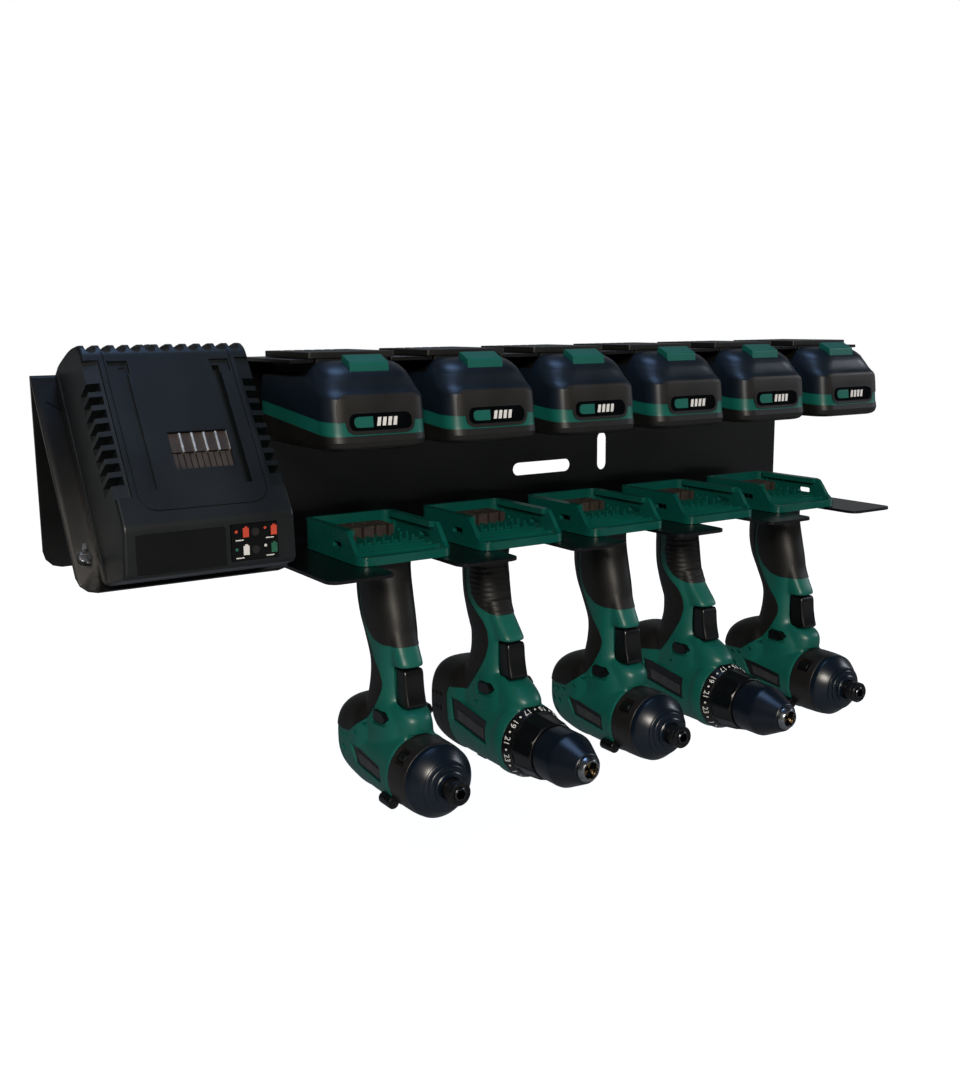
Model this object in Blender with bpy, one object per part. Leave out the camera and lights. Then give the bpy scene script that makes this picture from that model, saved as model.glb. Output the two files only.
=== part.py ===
"""Drill charging station: a wall rack with a battery charger, six slide packs and five cordless tools.

Metres, +Z up. The wall is the plane y = 0 and the station stands in front of it, towards -Y.
The origin is on the wall face of the panel, midway between its two wall screws.
"""
import math

import bmesh
import bpy
from mathutils import Vector

MM = 0.001

# Fits shared by every piece
GAP = 0.3 * MM             # clearance between neighbouring pieces
OVERRUN = 2 * MM           # how far a cutter runs past the faces it cuts
SLIVER = GAP / 10          # edges shorter than this are merged
ARC_STEPS = 3              # facets in a rounded corner
ROUND_STEPS = 20           # facets around a turned piece
SMALL_STEPS = 12           # facets around a small one
SMOOTH_ANGLE = math.radians(35)
BEVEL_ANGLE = math.radians(40)
FLAT_ANGLE = math.radians(0.5)

# Rack, one bent sheet
SHEET = 2.5 * MM
BEND_RADIUS = 4 * MM       # outside radius of every fold
TOOL_COUNT = 5
TOOL_PITCH = 101.6 * MM
FINGER_WIDTH = 50.8 * MM
FINGER_REACH = 148 * MM    # wall to fingertip
FINGER_CORNER = 8 * MM
TOOL_SLOT_ROOT = 26 * MM   # wall to the closed end of a tool slot
SLOT_ROOT_SHARE = 0.33     # corner radius at a slot's closed end, as a share of its half width
SHELF_HEIGHT = 143.5 * MM  # tool fingers to the top of the battery shelf
SHELF_REACH = 98 * MM
BATTERY_COUNT = 6
PACK_SLOT_WIDTH = 58 * MM
PACK_SLOT_ROOT = 12 * MM
SCREW_HEIGHT = 100 * MM    # tool fingers to the wall screws
SCREW_SPREAD = 400 * MM    # between the panel's two wall screws
LONG_SLOT = (62 * MM, 11 * MM)      # plain openings in the panel: width, height
UPRIGHT_SLOT = (11 * MM, 34 * MM)
LONG_SLOT_PLACE = (-4 * MM, 42 * MM)     # from the panel's centre, above the tool fingers
UPRIGHT_SLOT_PLACE = (62 * MM, 52 * MM)
OBROUND_SHARE = 0.999      # end radius of a plain opening, as a share of half its narrow side

# Charger easel, a sheet folded over at the top
EASEL_WIDTH = 147 * MM
EASEL_HEIGHT = 134 * MM    # tool fingers to the fold
EASEL_SPREAD = 92 * MM     # wall to the foot of the leaning plate
EASEL_LIFT = 2 * MM        # the back plate ends this far above the tool fingers
EASEL_CORNER = 12 * MM
WING_BASE_RADIUS = 5 * MM
WING_SPAN = 9 * MM
WING_HEIGHT = 9 * MM
WING_THICKNESS = 2.4 * MM
WING_UP = 23.5 * MM        # foot of the leaning plate up to the wing nuts
WING_BASE_SHARES = [(0.0, 1.0), (0.5, 0.8)]     # of the height and of the base's radius
WING_SHARES = [            # of the span and of the height
    (-0.39, 0.25), (0.39, 0.25), (0.80, 1.0), (0.35, 1.0),
    (0.17, 0.45), (-0.17, 0.45), (-0.35, 1.0), (-0.80, 1.0),
]

# Wall screws
SCREW_RADIUS = 3 * MM
SCREW_HEAD_RADIUS = 6 * MM
SCREW_HEAD_HEIGHT = 3.2 * MM
SCREW_HEAD_SHARES = [(0.0, 1.0), (0.55, 0.94), (1.0, 0.62)]     # of the head's height and radius
SOCKET_WIDTH = 4 * MM
SOCKET_DEPTH = 2 * MM

# Charger, in its own frame: s runs down the leaning plate from the fold, t stands off it
CHARGER_WIDTH = 118 * MM
CHARGER_LENGTH = 175 * MM
CHARGER_THICKNESS = 60 * MM
CHARGER_BASE = 11 * MM     # thickness of the back cover
CHARGER_EDGE = 4 * MM
CHARGER_EDGE_ANGLE = math.radians(60)
CHARGER_OUTLINE_SHARES = [
    (0.012, 0.0), (0.012, 0.25), (0.04, 0.66), (0.085, 0.94), (0.125, 1.0),
    (0.85, 1.0), (1.0, 0.70), (0.915, 0.0),
]
TOP_RIB_COUNT = 12
TOP_RIB_CUT_RADIUS = 2.2 * MM
TOP_RIB_CUT_LENGTH = 26 * MM
TOP_RIB_STEPS = 6
LOUVRE_COUNT = 8
LOUVRE_PITCH = 9.4 * MM
LOUVRE_WIDTH = 4.2 * MM
LOUVRE_SPAN = (28 * MM, 45 * MM)     # t of a louvre's ends
LOUVRE_DEPTH = 4 * MM
LOUVRE_START = 34 * MM
CRADLE_WIDTH = 86 * MM
CRADLE_STEP = 2.5 * MM
CRADLE_END = 124 * MM      # s of the cradle's closed end
CRADLE_CORNER = 14 * MM
RAIL_CHANNEL_WIDTH = 7 * MM
RAIL_CHANNEL_DEPTH = 9 * MM
RAIL_CHANNEL_SPREAD = 66 * MM
RAIL_CHANNEL_SPAN = (30 * MM, 112 * MM)
CONTACT_BAY_WIDTH = 54 * MM
CONTACT_BAY_DEPTH = 16 * MM
CONTACT_BAY_SPAN = (62 * MM, 102 * MM)
CONTACT_BLOCK_SHARE = 0.62     # of the bay's span
CONTACT_BLOCK_HEIGHT = 13 * MM
CONTACT_COUNT = 6
CONTACT_SLOT = 1.6 * MM
CONTACT_SLOT_FLOOR = 4 * MM
CONTACT_SLOT_END = 8 * MM
LAMP_PLATE = (34 * MM, 24 * MM, 2 * MM)
LAMP_PLATE_ASIDE = 29 * MM
GLAND_RADIUS = 5.5 * MM
GLAND_TIP_RADIUS = 4 * MM
GLAND_LENGTH = 6 * MM
GLAND_BORE_RADIUS = 2.6 * MM

# Battery pack: depth is measured off the wall, height from the top of the shelf it hangs from
PACK_WIDTH = 76 * MM
PACK_BACK = 20 * MM        # wall to the pack's back end
PACK_LENGTH = 119 * MM
PACK_HEIGHT = 59 * MM      # from the pack's base to its nose top
NOSE_TOP = -1 * MM         # the nose top's height over the shelf
RAIL_WIDTH = 67 * MM
RAIL_HEIGHT = 4.3 * MM
RAIL_FRONT = 97 * MM
RAIL_CORNER = 2 * MM
NECK_WIDTH = 55 * MM
PACK_FRONT_CORNER = 10 * MM
PACK_BACK_CORNER = 6 * MM
# Level sections from the base up: height above it, front end as a share of the length, width
PACK_BODY_SHARES = [
    (0.0, 0.985, 0.95), (0.034, 1.0, 0.985), (0.136, 0.992, 1.0), (0.21, 0.979, 1.0), (0.475, 0.966, 1.0),
    (0.60, 0.964, 1.0), (0.636, 0.958, 1.0), (0.703, 0.916, 1.0), (0.737, 0.899, 1.0), (0.79, 0.886, 1.0),
    (0.814, 0.879, 0.975),
]
PACK_NOSE_SHARES = [(0.74, 0.897, 1.0), (0.864, 0.866, 0.985), (0.949, 0.807, 0.93), (1.0, 0.739, 0.80)]
LATCH_WIDTH = 28 * MM
LATCH_LENGTH = 12.5 * MM
LATCH_HEIGHT = 10.8 * MM   # from its underside to its top edge
LATCH_PROUD = 2.8 * MM     # top edge over the shelf
LATCH_FRONT = 122 * MM
LATCH_TRAVEL = 3 * MM
LATCH_EDGE = 1.2 * MM
LATCH_SLOPE_SHARES = [(0.0, 0.0), (1.0, 0.0), (1.0, 0.31), (0.0, 1.0)]     # of the length and the height

# Tools hang upside down: depth is measured off the wall, height from the top of the tool fingers
FOOT_WIDTH = 76 * MM
FOOT_BACK = 22 * MM
FOOT_LENGTH = 96 * MM
FOOT_HEIGHT = 23 * MM
FOOT_FLOOR = 5 * MM
FOOT_WALL = 4 * MM
FOOT_LIP = 6.5 * MM
FOOT_CORNER = 9 * MM
FOOT_RAIL = 3.5 * MM       # how far the rails stand in from the side walls
FOOT_RAIL_HEIGHT = 5 * MM
FOOT_SLOPE = 24 * MM       # length of the side walls' falling front edge
FOOT_SLOPE_SHARES = [(0.0, 1.0), (0.16, 0.90), (0.36, 0.58), (0.56, 0.20), (0.78, 0.0)]
TERMINAL_WIDTH = 42 * MM
TERMINAL_LENGTH = 24 * MM
TERMINAL_HEIGHT = 12 * MM
TERMINAL_COUNT = 4
TERMINAL_SLOT = 2.4 * MM
TERMINAL_SLOT_FLOOR = 3 * MM
TERMINAL_SLOT_END = 6 * MM
TERMINAL_BACK = 8 * MM     # from the foot's back wall
WINDOW_LENGTH = 14 * MM
WINDOW_HEIGHT = 4.5 * MM
WINDOW_FRONT = 12 * MM     # from the start of the falling edge back to the window

RING_STEPS = 16            # facets around a handle section
RING_POWER = 2.4           # how square a section is: 2 is an ellipse

# Handle sections from the foot down to the motor housing. Height is a share of the drop to the motor
# axis; the middle's forward shift and the half depth are shares of the grip's depth; the half width is
# a share of its width
GRIP_DEPTH = 44 * MM
GRIP_WIDTH = 34 * MM
AXIS_DROP = 152 * MM       # tool fingers to the motor axis
IMPACT_HANDLE_SHARES = [
    (-0.018, 0.0, 0.58, 0.59), (0.033, 0.01, 0.511, 0.52), (0.13, 0.016, 0.532, 0.495),
    (0.30, 0.114, 0.568, 0.476), (0.40, 0.25, 0.523, 0.459), (0.475, 0.323, 0.427, 0.456),
    (0.60, 0.33, 0.398, 0.47), (0.684, 0.318, 0.455, 0.515), (0.737, 0.42, 0.648, 0.574),
    (0.82, 0.385, 0.765, 0.66), (0.92, 0.32, 0.82, 0.71),
]
DRILL_HANDLE_SHARES = [
    (-0.018, 0.011, 0.58, 0.59), (0.033, 0.023, 0.455, 0.52), (0.118, 0.011, 0.398, 0.495),
    (0.296, 0.068, 0.455, 0.476), (0.395, 0.159, 0.455, 0.459), (0.474, 0.284, 0.466, 0.456),
    (0.592, 0.307, 0.466, 0.47), (0.684, 0.273, 0.545, 0.515), (0.737, 0.33, 0.761, 0.574),
    (0.822, 0.267, 0.972, 0.66), (0.921, 0.205, 1.06, 0.71),
]

HOUSING_RADIUS = 27.5 * MM
HOUSING_SHARES = [(0.0, 0.60), (0.03, 0.80), (0.11, 0.93), (0.30, 0.975), (0.75, 1.0), (1.0, 1.0)]

TRIGGER_WIDTH = 17 * MM
TRIGGER_HEIGHT = 29 * MM
TRIGGER_TOP = 78 * MM      # tool fingers to the trigger's upper end
TRIGGER_THICKNESS = 17 * MM
TRIGGER_TRAVEL = 6 * MM
TRIGGER_EDGE = 3 * MM
TRIGGER_WELL = 1 * MM      # spare room behind a pressed trigger
TRIGGER_CLEAR = 10 * MM    # the well runs this far in front of the trigger

SELECTOR_LENGTH = 15 * MM
SELECTOR_HEIGHT = 8 * MM
SELECTOR_EDGE = 1.2 * MM
SELECTOR_PROUD = 1.2 * MM
SELECTOR_DROP = 115 * MM   # tool fingers to the selector's middle
SELECTOR_SPAN = 41 * MM    # across the handle at the selector

# Impact driver
IMPACT_GRIP_PLACE = 78 * MM          # wall to the middle of the grip at the foot
IMPACT_BACK = 42 * MM
IMPACT_HOUSING_LENGTH = 87 * MM
IMPACT_TRIGGER_FRONT = 127 * MM
IMPACT_SELECTOR_DEPTH = 104 * MM
NOSE_LENGTH = 43 * MM
NOSE_RADIUS = 27.8 * MM
NOSE_SHARES = [
    (0.0, 1.0), (0.45, 0.985), (0.68, 0.94), (0.80, 0.83), (0.86, 0.68), (0.875, 0.47), (1.0, 0.43),
]
ANVIL_RADIUS = 4.9 * MM
ANVIL_LENGTH = 34 * MM
ANVIL_PROUD = 13 * MM      # beyond the nose case
HEX_SOCKET = 6.35 * MM     # across the flats
HEX_DEPTH = 14 * MM
SLEEVE_RADIUS = 7.6 * MM
SLEEVE_LENGTH = 15.5 * MM
SLEEVE_SET = 0.6 * MM      # the anvil's end stands this far out of the sleeve
SLEEVE_CHAMFER = 1.2 * MM
SLEEVE_WELL = 14 * MM      # depth of the nose case's bore around the sleeve

# Drill driver
DRILL_GRIP_PLACE = 60 * MM
DRILL_BACK = 13 * MM
DRILL_HOUSING_LENGTH = 111 * MM
DRILL_TRIGGER_FRONT = 109 * MM
DRILL_SELECTOR_DEPTH = 86 * MM
COLLAR_RADIUS = 28.4 * MM
COLLAR_LENGTH = 30 * MM
COLLAR_BORE = 12 * MM
COLLAR_STEPS = 24
COLLAR_SHARES = [(0.0, 1.0), (0.22, 1.0), (0.26, 0.955), (0.86, 0.93), (1.0, 0.86)]
CHUCK_RADIUS = 21 * MM
CHUCK_LENGTH = 45 * MM
CHUCK_SHARES = [
    (0.0, 0.93), (0.04, 1.0), (0.67, 1.0), (0.71, 0.98), (0.90, 0.53), (0.91, 0.48), (1.0, 0.41),
]
CHUCK_BORE = 5 * MM
CHUCK_BORE_DEPTH = 20 * MM
SPINDLE_RADIUS = 9 * MM
SPEED_WIDTH = 15 * MM
SPEED_LENGTH = 13 * MM
SPEED_HEIGHT = 6 * MM
SPEED_EDGE = 1 * MM
SPEED_TRAVEL = 8 * MM
SPEED_PROUD = 3 * MM
SPEED_BACK = 44 * MM       # housing's rear end to the switch's rear end

# Derived places
PANEL_WIDTH = (TOOL_COUNT * TOOL_PITCH) + FINGER_WIDTH
PACK_PITCH = PANEL_WIDTH / BATTERY_COUNT
FINGER_Z = -SCREW_HEIGHT
SHELF_Z = FINGER_Z + SHELF_HEIGHT
EASEL_LEAN = math.atan2(EASEL_SPREAD, EASEL_HEIGHT)
EASEL_MID_X = -(PANEL_WIDTH + EASEL_WIDTH) / 2 - GAP
EASEL_PLATE_LENGTH = math.hypot(EASEL_SPREAD, EASEL_HEIGHT)
EASEL_SCREW_Z = FINGER_Z + EASEL_LIFT + EASEL_CORNER
WING_DOWN = EASEL_PLATE_LENGTH - WING_UP
CONTACT_BLOCK_LENGTH = (CONTACT_BAY_SPAN[1] - CONTACT_BAY_SPAN[0]) * CONTACT_BLOCK_SHARE


def material(name, colour, roughness, metallic=0.0):
    """A plain Principled material; colour is linear RGB."""
    made = bpy.data.materials.new(name)
    made.use_nodes = True
    shader = made.node_tree.nodes["Principled BSDF"]
    shader.inputs["Base Color"].default_value = (*colour, 1.0)
    shader.inputs["Roughness"].default_value = roughness
    shader.inputs["Metallic"].default_value = metallic
    made.diffuse_color = (*colour, 1.0)
    return made


def clear_scene():
    for thing in list(bpy.data.objects):
        bpy.data.objects.remove(thing, do_unlink=True)


def mesh_object(name, points, faces, finish=None):
    mesh = bpy.data.meshes.new(name)
    mesh.from_pydata([tuple(p) for p in points], [], faces)
    shape = bmesh.new()
    shape.from_mesh(mesh)
    bmesh.ops.recalc_face_normals(shape, faces=shape.faces)
    shape.to_mesh(mesh)
    shape.free()
    if finish:
        mesh.materials.append(finish)
    made = bpy.data.objects.new(name, mesh)
    bpy.context.scene.collection.objects.link(made)
    return made


def loft(name, rings, finish=None):
    """A closed skin over rings that all have as many points, with a flat cap on each end."""
    count = len(rings[0])
    points = [point for ring in rings for point in ring]
    faces = []
    for level in range(len(rings) - 1):
        low = level * count
        high = low + count
        for i in range(count):
            j = (i + 1) % count
            faces.append((low + i, low + j, high + j, high + i))
    last = (len(rings) - 1) * count
    faces.append(tuple(range(count)))
    faces.append(tuple(range(last, last + count)))
    return mesh_object(name, points, faces, finish)


def upright(a, b, run):
    """Places an outline seen from the front, (x, z), run off the wall."""
    return Vector((a, -run, b))


def level(a, b, run):
    """Places an outline seen from above, (x, depth), run upwards."""
    return Vector((a, -b, run))


def sideways(a, b, run):
    """Places an outline seen from the side, (depth, z), run across."""
    return Vector((run, -a, b))


def prism(name, outline, place, low, high, finish=None):
    """An outline of (a, b) pairs run from low to high; place turns (a, b, run) into a point."""
    return loft(name, [[place(a, b, run) for a, b in outline] for run in (low, high)], finish)


def box(name, x, depth, z, finish=None):
    """A block from its (low, high) pairs: across, off the wall and upwards."""
    outline = [(x[0], depth[0]), (x[1], depth[0]), (x[1], depth[1]), (x[0], depth[1])]
    return prism(name, outline, level, z[0], z[1], finish)


def around(radius, steps, start=0.0):
    """Points evenly spaced on a circle."""
    turns = [start + 2 * math.pi * i / steps for i in range(steps)]
    return [(radius * math.cos(turn), radius * math.sin(turn)) for turn in turns]


def turned(name, profile, finish=None, steps=ROUND_STEPS):
    """A full solid turned about Y from (depth, radius) pairs."""
    rings = [[upright(x, z, depth) for x, z in around(radius, steps)] for depth, radius in profile]
    return loft(name, rings, finish)


def tube(name, profile, finish=None, steps=ROUND_STEPS):
    """A solid turned about Y from (depth, radius) pairs that close on themselves, leaving a bore."""
    points = []
    faces = []
    for depth, radius in profile:
        points += [upright(x, z, depth) for x, z in around(radius, steps)]
    for level_index in range(len(profile)):
        low = level_index * steps
        high = (level_index + 1) % len(profile) * steps
        for i in range(steps):
            j = (i + 1) % steps
            faces.append((low + i, low + j, high + j, high + i))
    return mesh_object(name, points, faces, finish)


def rounded_outline(low_a, low_b, high_a, high_b, radii, steps=ARC_STEPS):
    """A rectangle with a radius for each corner: low-low, high-low, high-high, low-high."""
    corners = [(low_a, low_b, 1, 1), (high_a, low_b, -1, 1), (high_a, high_b, -1, -1), (low_a, high_b, 1, -1)]
    outline = []
    for index, ((a, b, turn_a, turn_b), radius) in enumerate(zip(corners, radii)):
        for step in range(steps + 1):
            angle = math.pi + (index + step / steps) * math.pi / 2
            outline.append((a + turn_a * radius + radius * math.cos(angle),
                            b + turn_b * radius + radius * math.sin(angle)))
    return outline


def obround(width, height, middle):
    """A slot's outline, round at its narrow ends."""
    radius = min(width, height) / 2 * OBROUND_SHARE
    a, b = middle
    return rounded_outline(a - width / 2, b - height / 2, a + width / 2, b + height / 2, [radius] * 4)


def bake(target):
    """Turns the object's modifiers into its mesh."""
    bpy.context.view_layer.update()
    graph = bpy.context.evaluated_depsgraph_get()
    mesh = bpy.data.meshes.new_from_object(target.evaluated_get(graph))
    target.modifiers.clear()
    target.data = mesh
    return target


def combine(target, others, operation):
    """Runs a Boolean on target with each of others, keeps the result and deletes the others."""
    for other in others:
        step = target.modifiers.new("shape", "BOOLEAN")
        step.operation = operation
        step.solver = "EXACT"
        step.object = other
    bake(target)
    for other in others:
        bpy.data.objects.remove(other, do_unlink=True)
    return target


def cut(target, *cutters):
    return combine(target, cutters, "DIFFERENCE")


def join(target, *others):
    return combine(target, others, "UNION")


def bevel(target, width, segments=2, angle=BEVEL_ANGLE):
    step = target.modifiers.new("edge", "BEVEL")
    step.width = width
    step.segments = segments
    step.limit_method = "ANGLE"
    step.angle_limit = angle
    return bake(target)


def tidy(target):
    """Removes slivers that a Boolean leaves, and shades the round faces smooth."""
    shape = bmesh.new()
    shape.from_mesh(target.data)
    bmesh.ops.remove_doubles(shape, verts=shape.verts, dist=SLIVER)
    bmesh.ops.dissolve_degenerate(shape, dist=SLIVER, edges=shape.edges)
    bmesh.ops.dissolve_limit(shape, angle_limit=FLAT_ANGLE, verts=shape.verts, edges=shape.edges)
    bmesh.ops.recalc_face_normals(shape, faces=shape.faces)
    shape.to_mesh(target.data)
    shape.free()
    target.data.shade_smooth()
    target.data.set_sharp_from_angle(angle=SMOOTH_ANGLE)
    return target


def place_copy(name, source, parent, place):
    made = bpy.data.objects.new(name, source.data)
    bpy.context.scene.collection.objects.link(made)
    made.parent = parent
    made.location = place
    return made


def frame_empty(name, place):
    made = bpy.data.objects.new(name, None)
    bpy.context.scene.collection.objects.link(made)
    made.location = place
    return made


def make_materials():
    return {
        "powder_coat": material("black_powder_coat", (0.012, 0.012, 0.013), 0.45),
        "zinc": material("zinc_steel", (0.55, 0.55, 0.56), 0.35, 1.0),
        "charger_black": material("charger_black", (0.018, 0.020, 0.023), 0.5),
        "contact_brown": material("contact_brown", (0.10, 0.075, 0.06), 0.55),
        "lamp_window": material("lamp_window", (0.04, 0.04, 0.05), 0.2),
        "gland_rubber": material("gland_rubber", (0.012, 0.012, 0.012), 0.7),
        "pack_black": material("pack_black", (0.022, 0.025, 0.030), 0.45),
        "green": material("green_abs", (0.006, 0.115, 0.095), 0.4),
        "trigger_black": material("trigger_black", (0.012, 0.012, 0.013), 0.4),
        "nose_dark": material("nose_dark", (0.020, 0.024, 0.030), 0.35),
        "bright_steel": material("bright_steel", (0.60, 0.60, 0.60), 0.25, 1.0),
        "chuck_black": material("chuck_black", (0.012, 0.014, 0.018), 0.3),
    }


# Rack

def arc(middle, radius, start, end):
    """Points on an arc from start to end, as (a, b) pairs."""
    turns = [start + (end - start) * step / ARC_STEPS for step in range(ARC_STEPS + 1)]
    return [(middle[0] + radius * math.cos(turn), middle[1] + radius * math.sin(turn)) for turn in turns]


def rack_profile():
    """The bent sheet's section as (depth, height) pairs: shelf, panel and tool fingers in one line."""
    low = FINGER_Z - SHEET
    under = SHELF_Z - SHEET
    outline = [(SHELF_REACH, SHELF_Z), (SHELF_REACH, under), (SHEET + BEND_RADIUS, under)]
    outline += [(SHEET, under - BEND_RADIUS), (SHEET, FINGER_Z + BEND_RADIUS)]
    outline += [(SHEET + BEND_RADIUS, FINGER_Z), (FINGER_REACH, FINGER_Z), (FINGER_REACH, low)]
    outline += arc((BEND_RADIUS, low + BEND_RADIUS), BEND_RADIUS, math.pi * 3 / 2, math.pi)
    outline += arc((BEND_RADIUS, SHELF_Z - BEND_RADIUS), BEND_RADIUS, math.pi, math.pi / 2)
    return outline


def slot_outline(middle, width, root, reach, mouth):
    """A slot seen from above as (x, depth): round at its closed end, flared by a radius where it opens."""
    half = width / 2
    radius = half * SLOT_ROOT_SHARE
    closed = rounded_outline(-half, root, half, reach, [radius, radius, 0, 0])[:2 * (ARC_STEPS + 1)]
    flare = arc((half + mouth, reach - mouth), mouth, math.pi, math.pi / 2)
    flare.append((half + mouth, reach + OVERRUN))
    outline = closed + flare + [(-x, depth) for x, depth in reversed(flare)]
    return [(middle + x, depth) for x, depth in outline]


def corner_waste(side, half, corner):
    """What a rounded corner leaves over: (across, up) pairs, up measured from the edge."""
    rounded = [(side * across, up) for across, up in arc((half - corner, corner), corner, -math.pi / 2, 0)]
    outside = side * (half + OVERRUN)
    return rounded + [(outside, corner), (outside, -OVERRUN), (side * (half - corner), -OVERRUN)]


def make_rack(finish):
    half = PANEL_WIDTH / 2
    rack = prism("rack_panel", rack_profile(), sideways, -half, half, finish)
    low, high = FINGER_Z - SHEET - OVERRUN, FINGER_Z + OVERRUN
    cutters = []
    for k in range(TOOL_COUNT):
        middle = (k - (TOOL_COUNT - 1) / 2) * TOOL_PITCH
        outline = slot_outline(middle, TOOL_PITCH - FINGER_WIDTH, TOOL_SLOT_ROOT, FINGER_REACH, FINGER_CORNER)
        cutters.append(prism("slot", outline, level, low, high))
    under = SHELF_Z - SHEET - OVERRUN
    for k in range(BATTERY_COUNT):
        middle = (k - (BATTERY_COUNT - 1) / 2) * PACK_PITCH
        outline = slot_outline(middle, PACK_SLOT_WIDTH, PACK_SLOT_ROOT, SHELF_REACH, SHEET)
        cutters.append(prism("slot", outline, level, under, SHELF_Z + OVERRUN))
    for (width, height), (x, up) in ((LONG_SLOT, LONG_SLOT_PLACE), (UPRIGHT_SLOT, UPRIGHT_SLOT_PLACE)):
        outline = obround(width, height, (x, FINGER_Z + up))
        cutters.append(prism("opening", outline, upright, -OVERRUN, SHEET + OVERRUN))
    for side in (-1, 1):
        hole = around(SCREW_RADIUS + GAP, SMALL_STEPS)
        outline = [(side * SCREW_SPREAD / 2 + x, z) for x, z in hole]
        cutters.append(prism("hole", outline, upright, -OVERRUN, SHEET + OVERRUN))
        outline = [(x, FINGER_REACH - back) for x, back in corner_waste(side, half, FINGER_CORNER)]
        cutters.append(prism("corner", outline, level, low, high))
    return tidy(cut(rack, *cutters))


def make_easel(finish):
    """Back plate on the wall and a front plate that leans out from the fold, in one section."""
    lean = Vector((math.sin(EASEL_LEAN), -math.cos(EASEL_LEAN)))
    off = Vector((math.cos(EASEL_LEAN), math.sin(EASEL_LEAN)))
    fold = Vector((0, FINGER_Z + EASEL_HEIGHT))
    foot = fold + lean * EASEL_PLATE_LENGTH
    low = FINGER_Z + EASEL_LIFT
    outline = [(0, low), tuple(fold), tuple(fold + off * SHEET * math.tan(EASEL_LEAN / 2))]
    outline += [tuple(fold + off * SHEET + lean * SHEET), tuple(foot + off * SHEET), tuple(foot)]
    outline += [(SHEET, fold.y - SHEET / math.tan(EASEL_LEAN)), (SHEET, low)]
    half = EASEL_WIDTH / 2
    easel = prism("charger_easel", outline, sideways, -half, half, finish)

    def leaning(a, b, run):
        point = foot - lean * b + off * run
        return Vector((a, -point.x, point.y))

    cutters = []
    for side in (-1, 1):
        waste = corner_waste(side, half, EASEL_CORNER)
        cutters.append(prism("corner", waste, leaning, -OVERRUN, SHEET + OVERRUN))
        raised = [(x, low + up) for x, up in waste]
        cutters.append(prism("corner", raised, upright, -OVERRUN, SHEET + OVERRUN))
    hole = [(x, EASEL_SCREW_Z + z) for x, z in around(SCREW_RADIUS + GAP, SMALL_STEPS)]
    cutters.append(prism("hole", hole, upright, -OVERRUN, SHEET + OVERRUN))
    easel = tidy(cut(easel, *cutters))
    easel.location = (EASEL_MID_X, 0, 0)
    return easel


def make_wall_screw(finish):
    """A pan head with a square socket, seated on the sheet, and the stub of its shank in the hole."""
    seat = SHEET + GAP
    profile = [(GAP, SCREW_RADIUS), (seat, SCREW_RADIUS)]
    profile += [(seat + SCREW_HEAD_HEIGHT * a, SCREW_HEAD_RADIUS * r) for a, r in SCREW_HEAD_SHARES]
    screw = turned("wall_screw", profile, finish, SMALL_STEPS)
    half = SOCKET_WIDTH / 2
    top = seat + SCREW_HEAD_HEIGHT
    return tidy(cut(screw, box("socket", (-half, half), (top - SOCKET_DEPTH, top + OVERRUN), (-half, half))))


# Charger

def charger_point(x, s, t):
    """A place on the charger: x across, s down the leaning plate from the fold, t off its face."""
    lean = Vector((0, -math.sin(EASEL_LEAN), -math.cos(EASEL_LEAN)))
    off = Vector((0, -math.cos(EASEL_LEAN), math.sin(EASEL_LEAN)))
    fold = Vector((EASEL_MID_X, 0, FINGER_Z + EASEL_HEIGHT))
    return fold + lean * s + off * (t + SHEET + GAP) + Vector((x, 0, 0))


def charger_across(a, b, run):
    """Places a side outline, (s, t), run across the charger."""
    return charger_point(run, a, b)


def charger_box(name, x, s, t, finish=None):
    outline = [(x[0], s[0]), (x[1], s[0]), (x[1], s[1]), (x[0], s[1])]
    return prism(name, outline, charger_point, t[0], t[1], finish)


def charger_corners(*indices):
    """Corners of the charger's side outline, as (s, t)."""
    shares = CHARGER_OUTLINE_SHARES
    return [Vector((shares[i][0] * CHARGER_LENGTH, shares[i][1] * CHARGER_THICKNESS)) for i in indices]


def charger_slice(name, low, high, finish):
    """The charger's body between two heights off the plate."""
    half = CHARGER_WIDTH / 2
    outline = [tuple(corner) for corner in charger_corners(*range(len(CHARGER_OUTLINE_SHARES)))]
    whole = prism(name, outline, charger_across, -half, half, finish)
    bevel(whole, CHARGER_EDGE, 2, CHARGER_EDGE_ANGLE)
    across = (-half - OVERRUN, half + OVERRUN)
    down = (-CHARGER_LENGTH, CHARGER_LENGTH + OVERRUN)
    if low > 0:
        cut(whole, charger_box("below", across, down, (-OVERRUN, low)))
    if high < CHARGER_THICKNESS:
        cut(whole, charger_box("above", across, down, (high, CHARGER_THICKNESS + OVERRUN)))
    return whole


def rib_cutters():
    """Rods that scallop the charger's rounded top edge into ribs."""
    start, end = charger_corners(2, 4)
    run = (end - start).normalized()
    out = Vector((-run.y, run.x))
    middle = (start + end) / 2
    pitch = (CHARGER_WIDTH - CHARGER_EDGE * 2) / TOP_RIB_COUNT
    cutters = []
    for k in range(1, TOP_RIB_COUNT):
        x = (k - TOP_RIB_COUNT / 2) * pitch
        rings = []
        for reach in (-TOP_RIB_CUT_LENGTH / 2, TOP_RIB_CUT_LENGTH / 2):
            places = [(across, middle + run * reach + out * up)
                      for across, up in around(TOP_RIB_CUT_RADIUS, TOP_RIB_STEPS, math.pi / TOP_RIB_STEPS)]
            rings.append([charger_point(x + across, place.x, place.y) for across, place in places])
        cutters.append(loft("rib_cut", rings))
    return cutters


def louvre_cutters():
    half = CHARGER_WIDTH / 2
    cutters = []
    for k in range(LOUVRE_COUNT):
        s = LOUVRE_START + LOUVRE_PITCH * k
        for x in ((-half - OVERRUN, -half + LOUVRE_DEPTH), (half - LOUVRE_DEPTH, half + OVERRUN)):
            cutters.append(charger_box("louvre", x, (s, s + LOUVRE_WIDTH), LOUVRE_SPAN))
    return cutters


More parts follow.
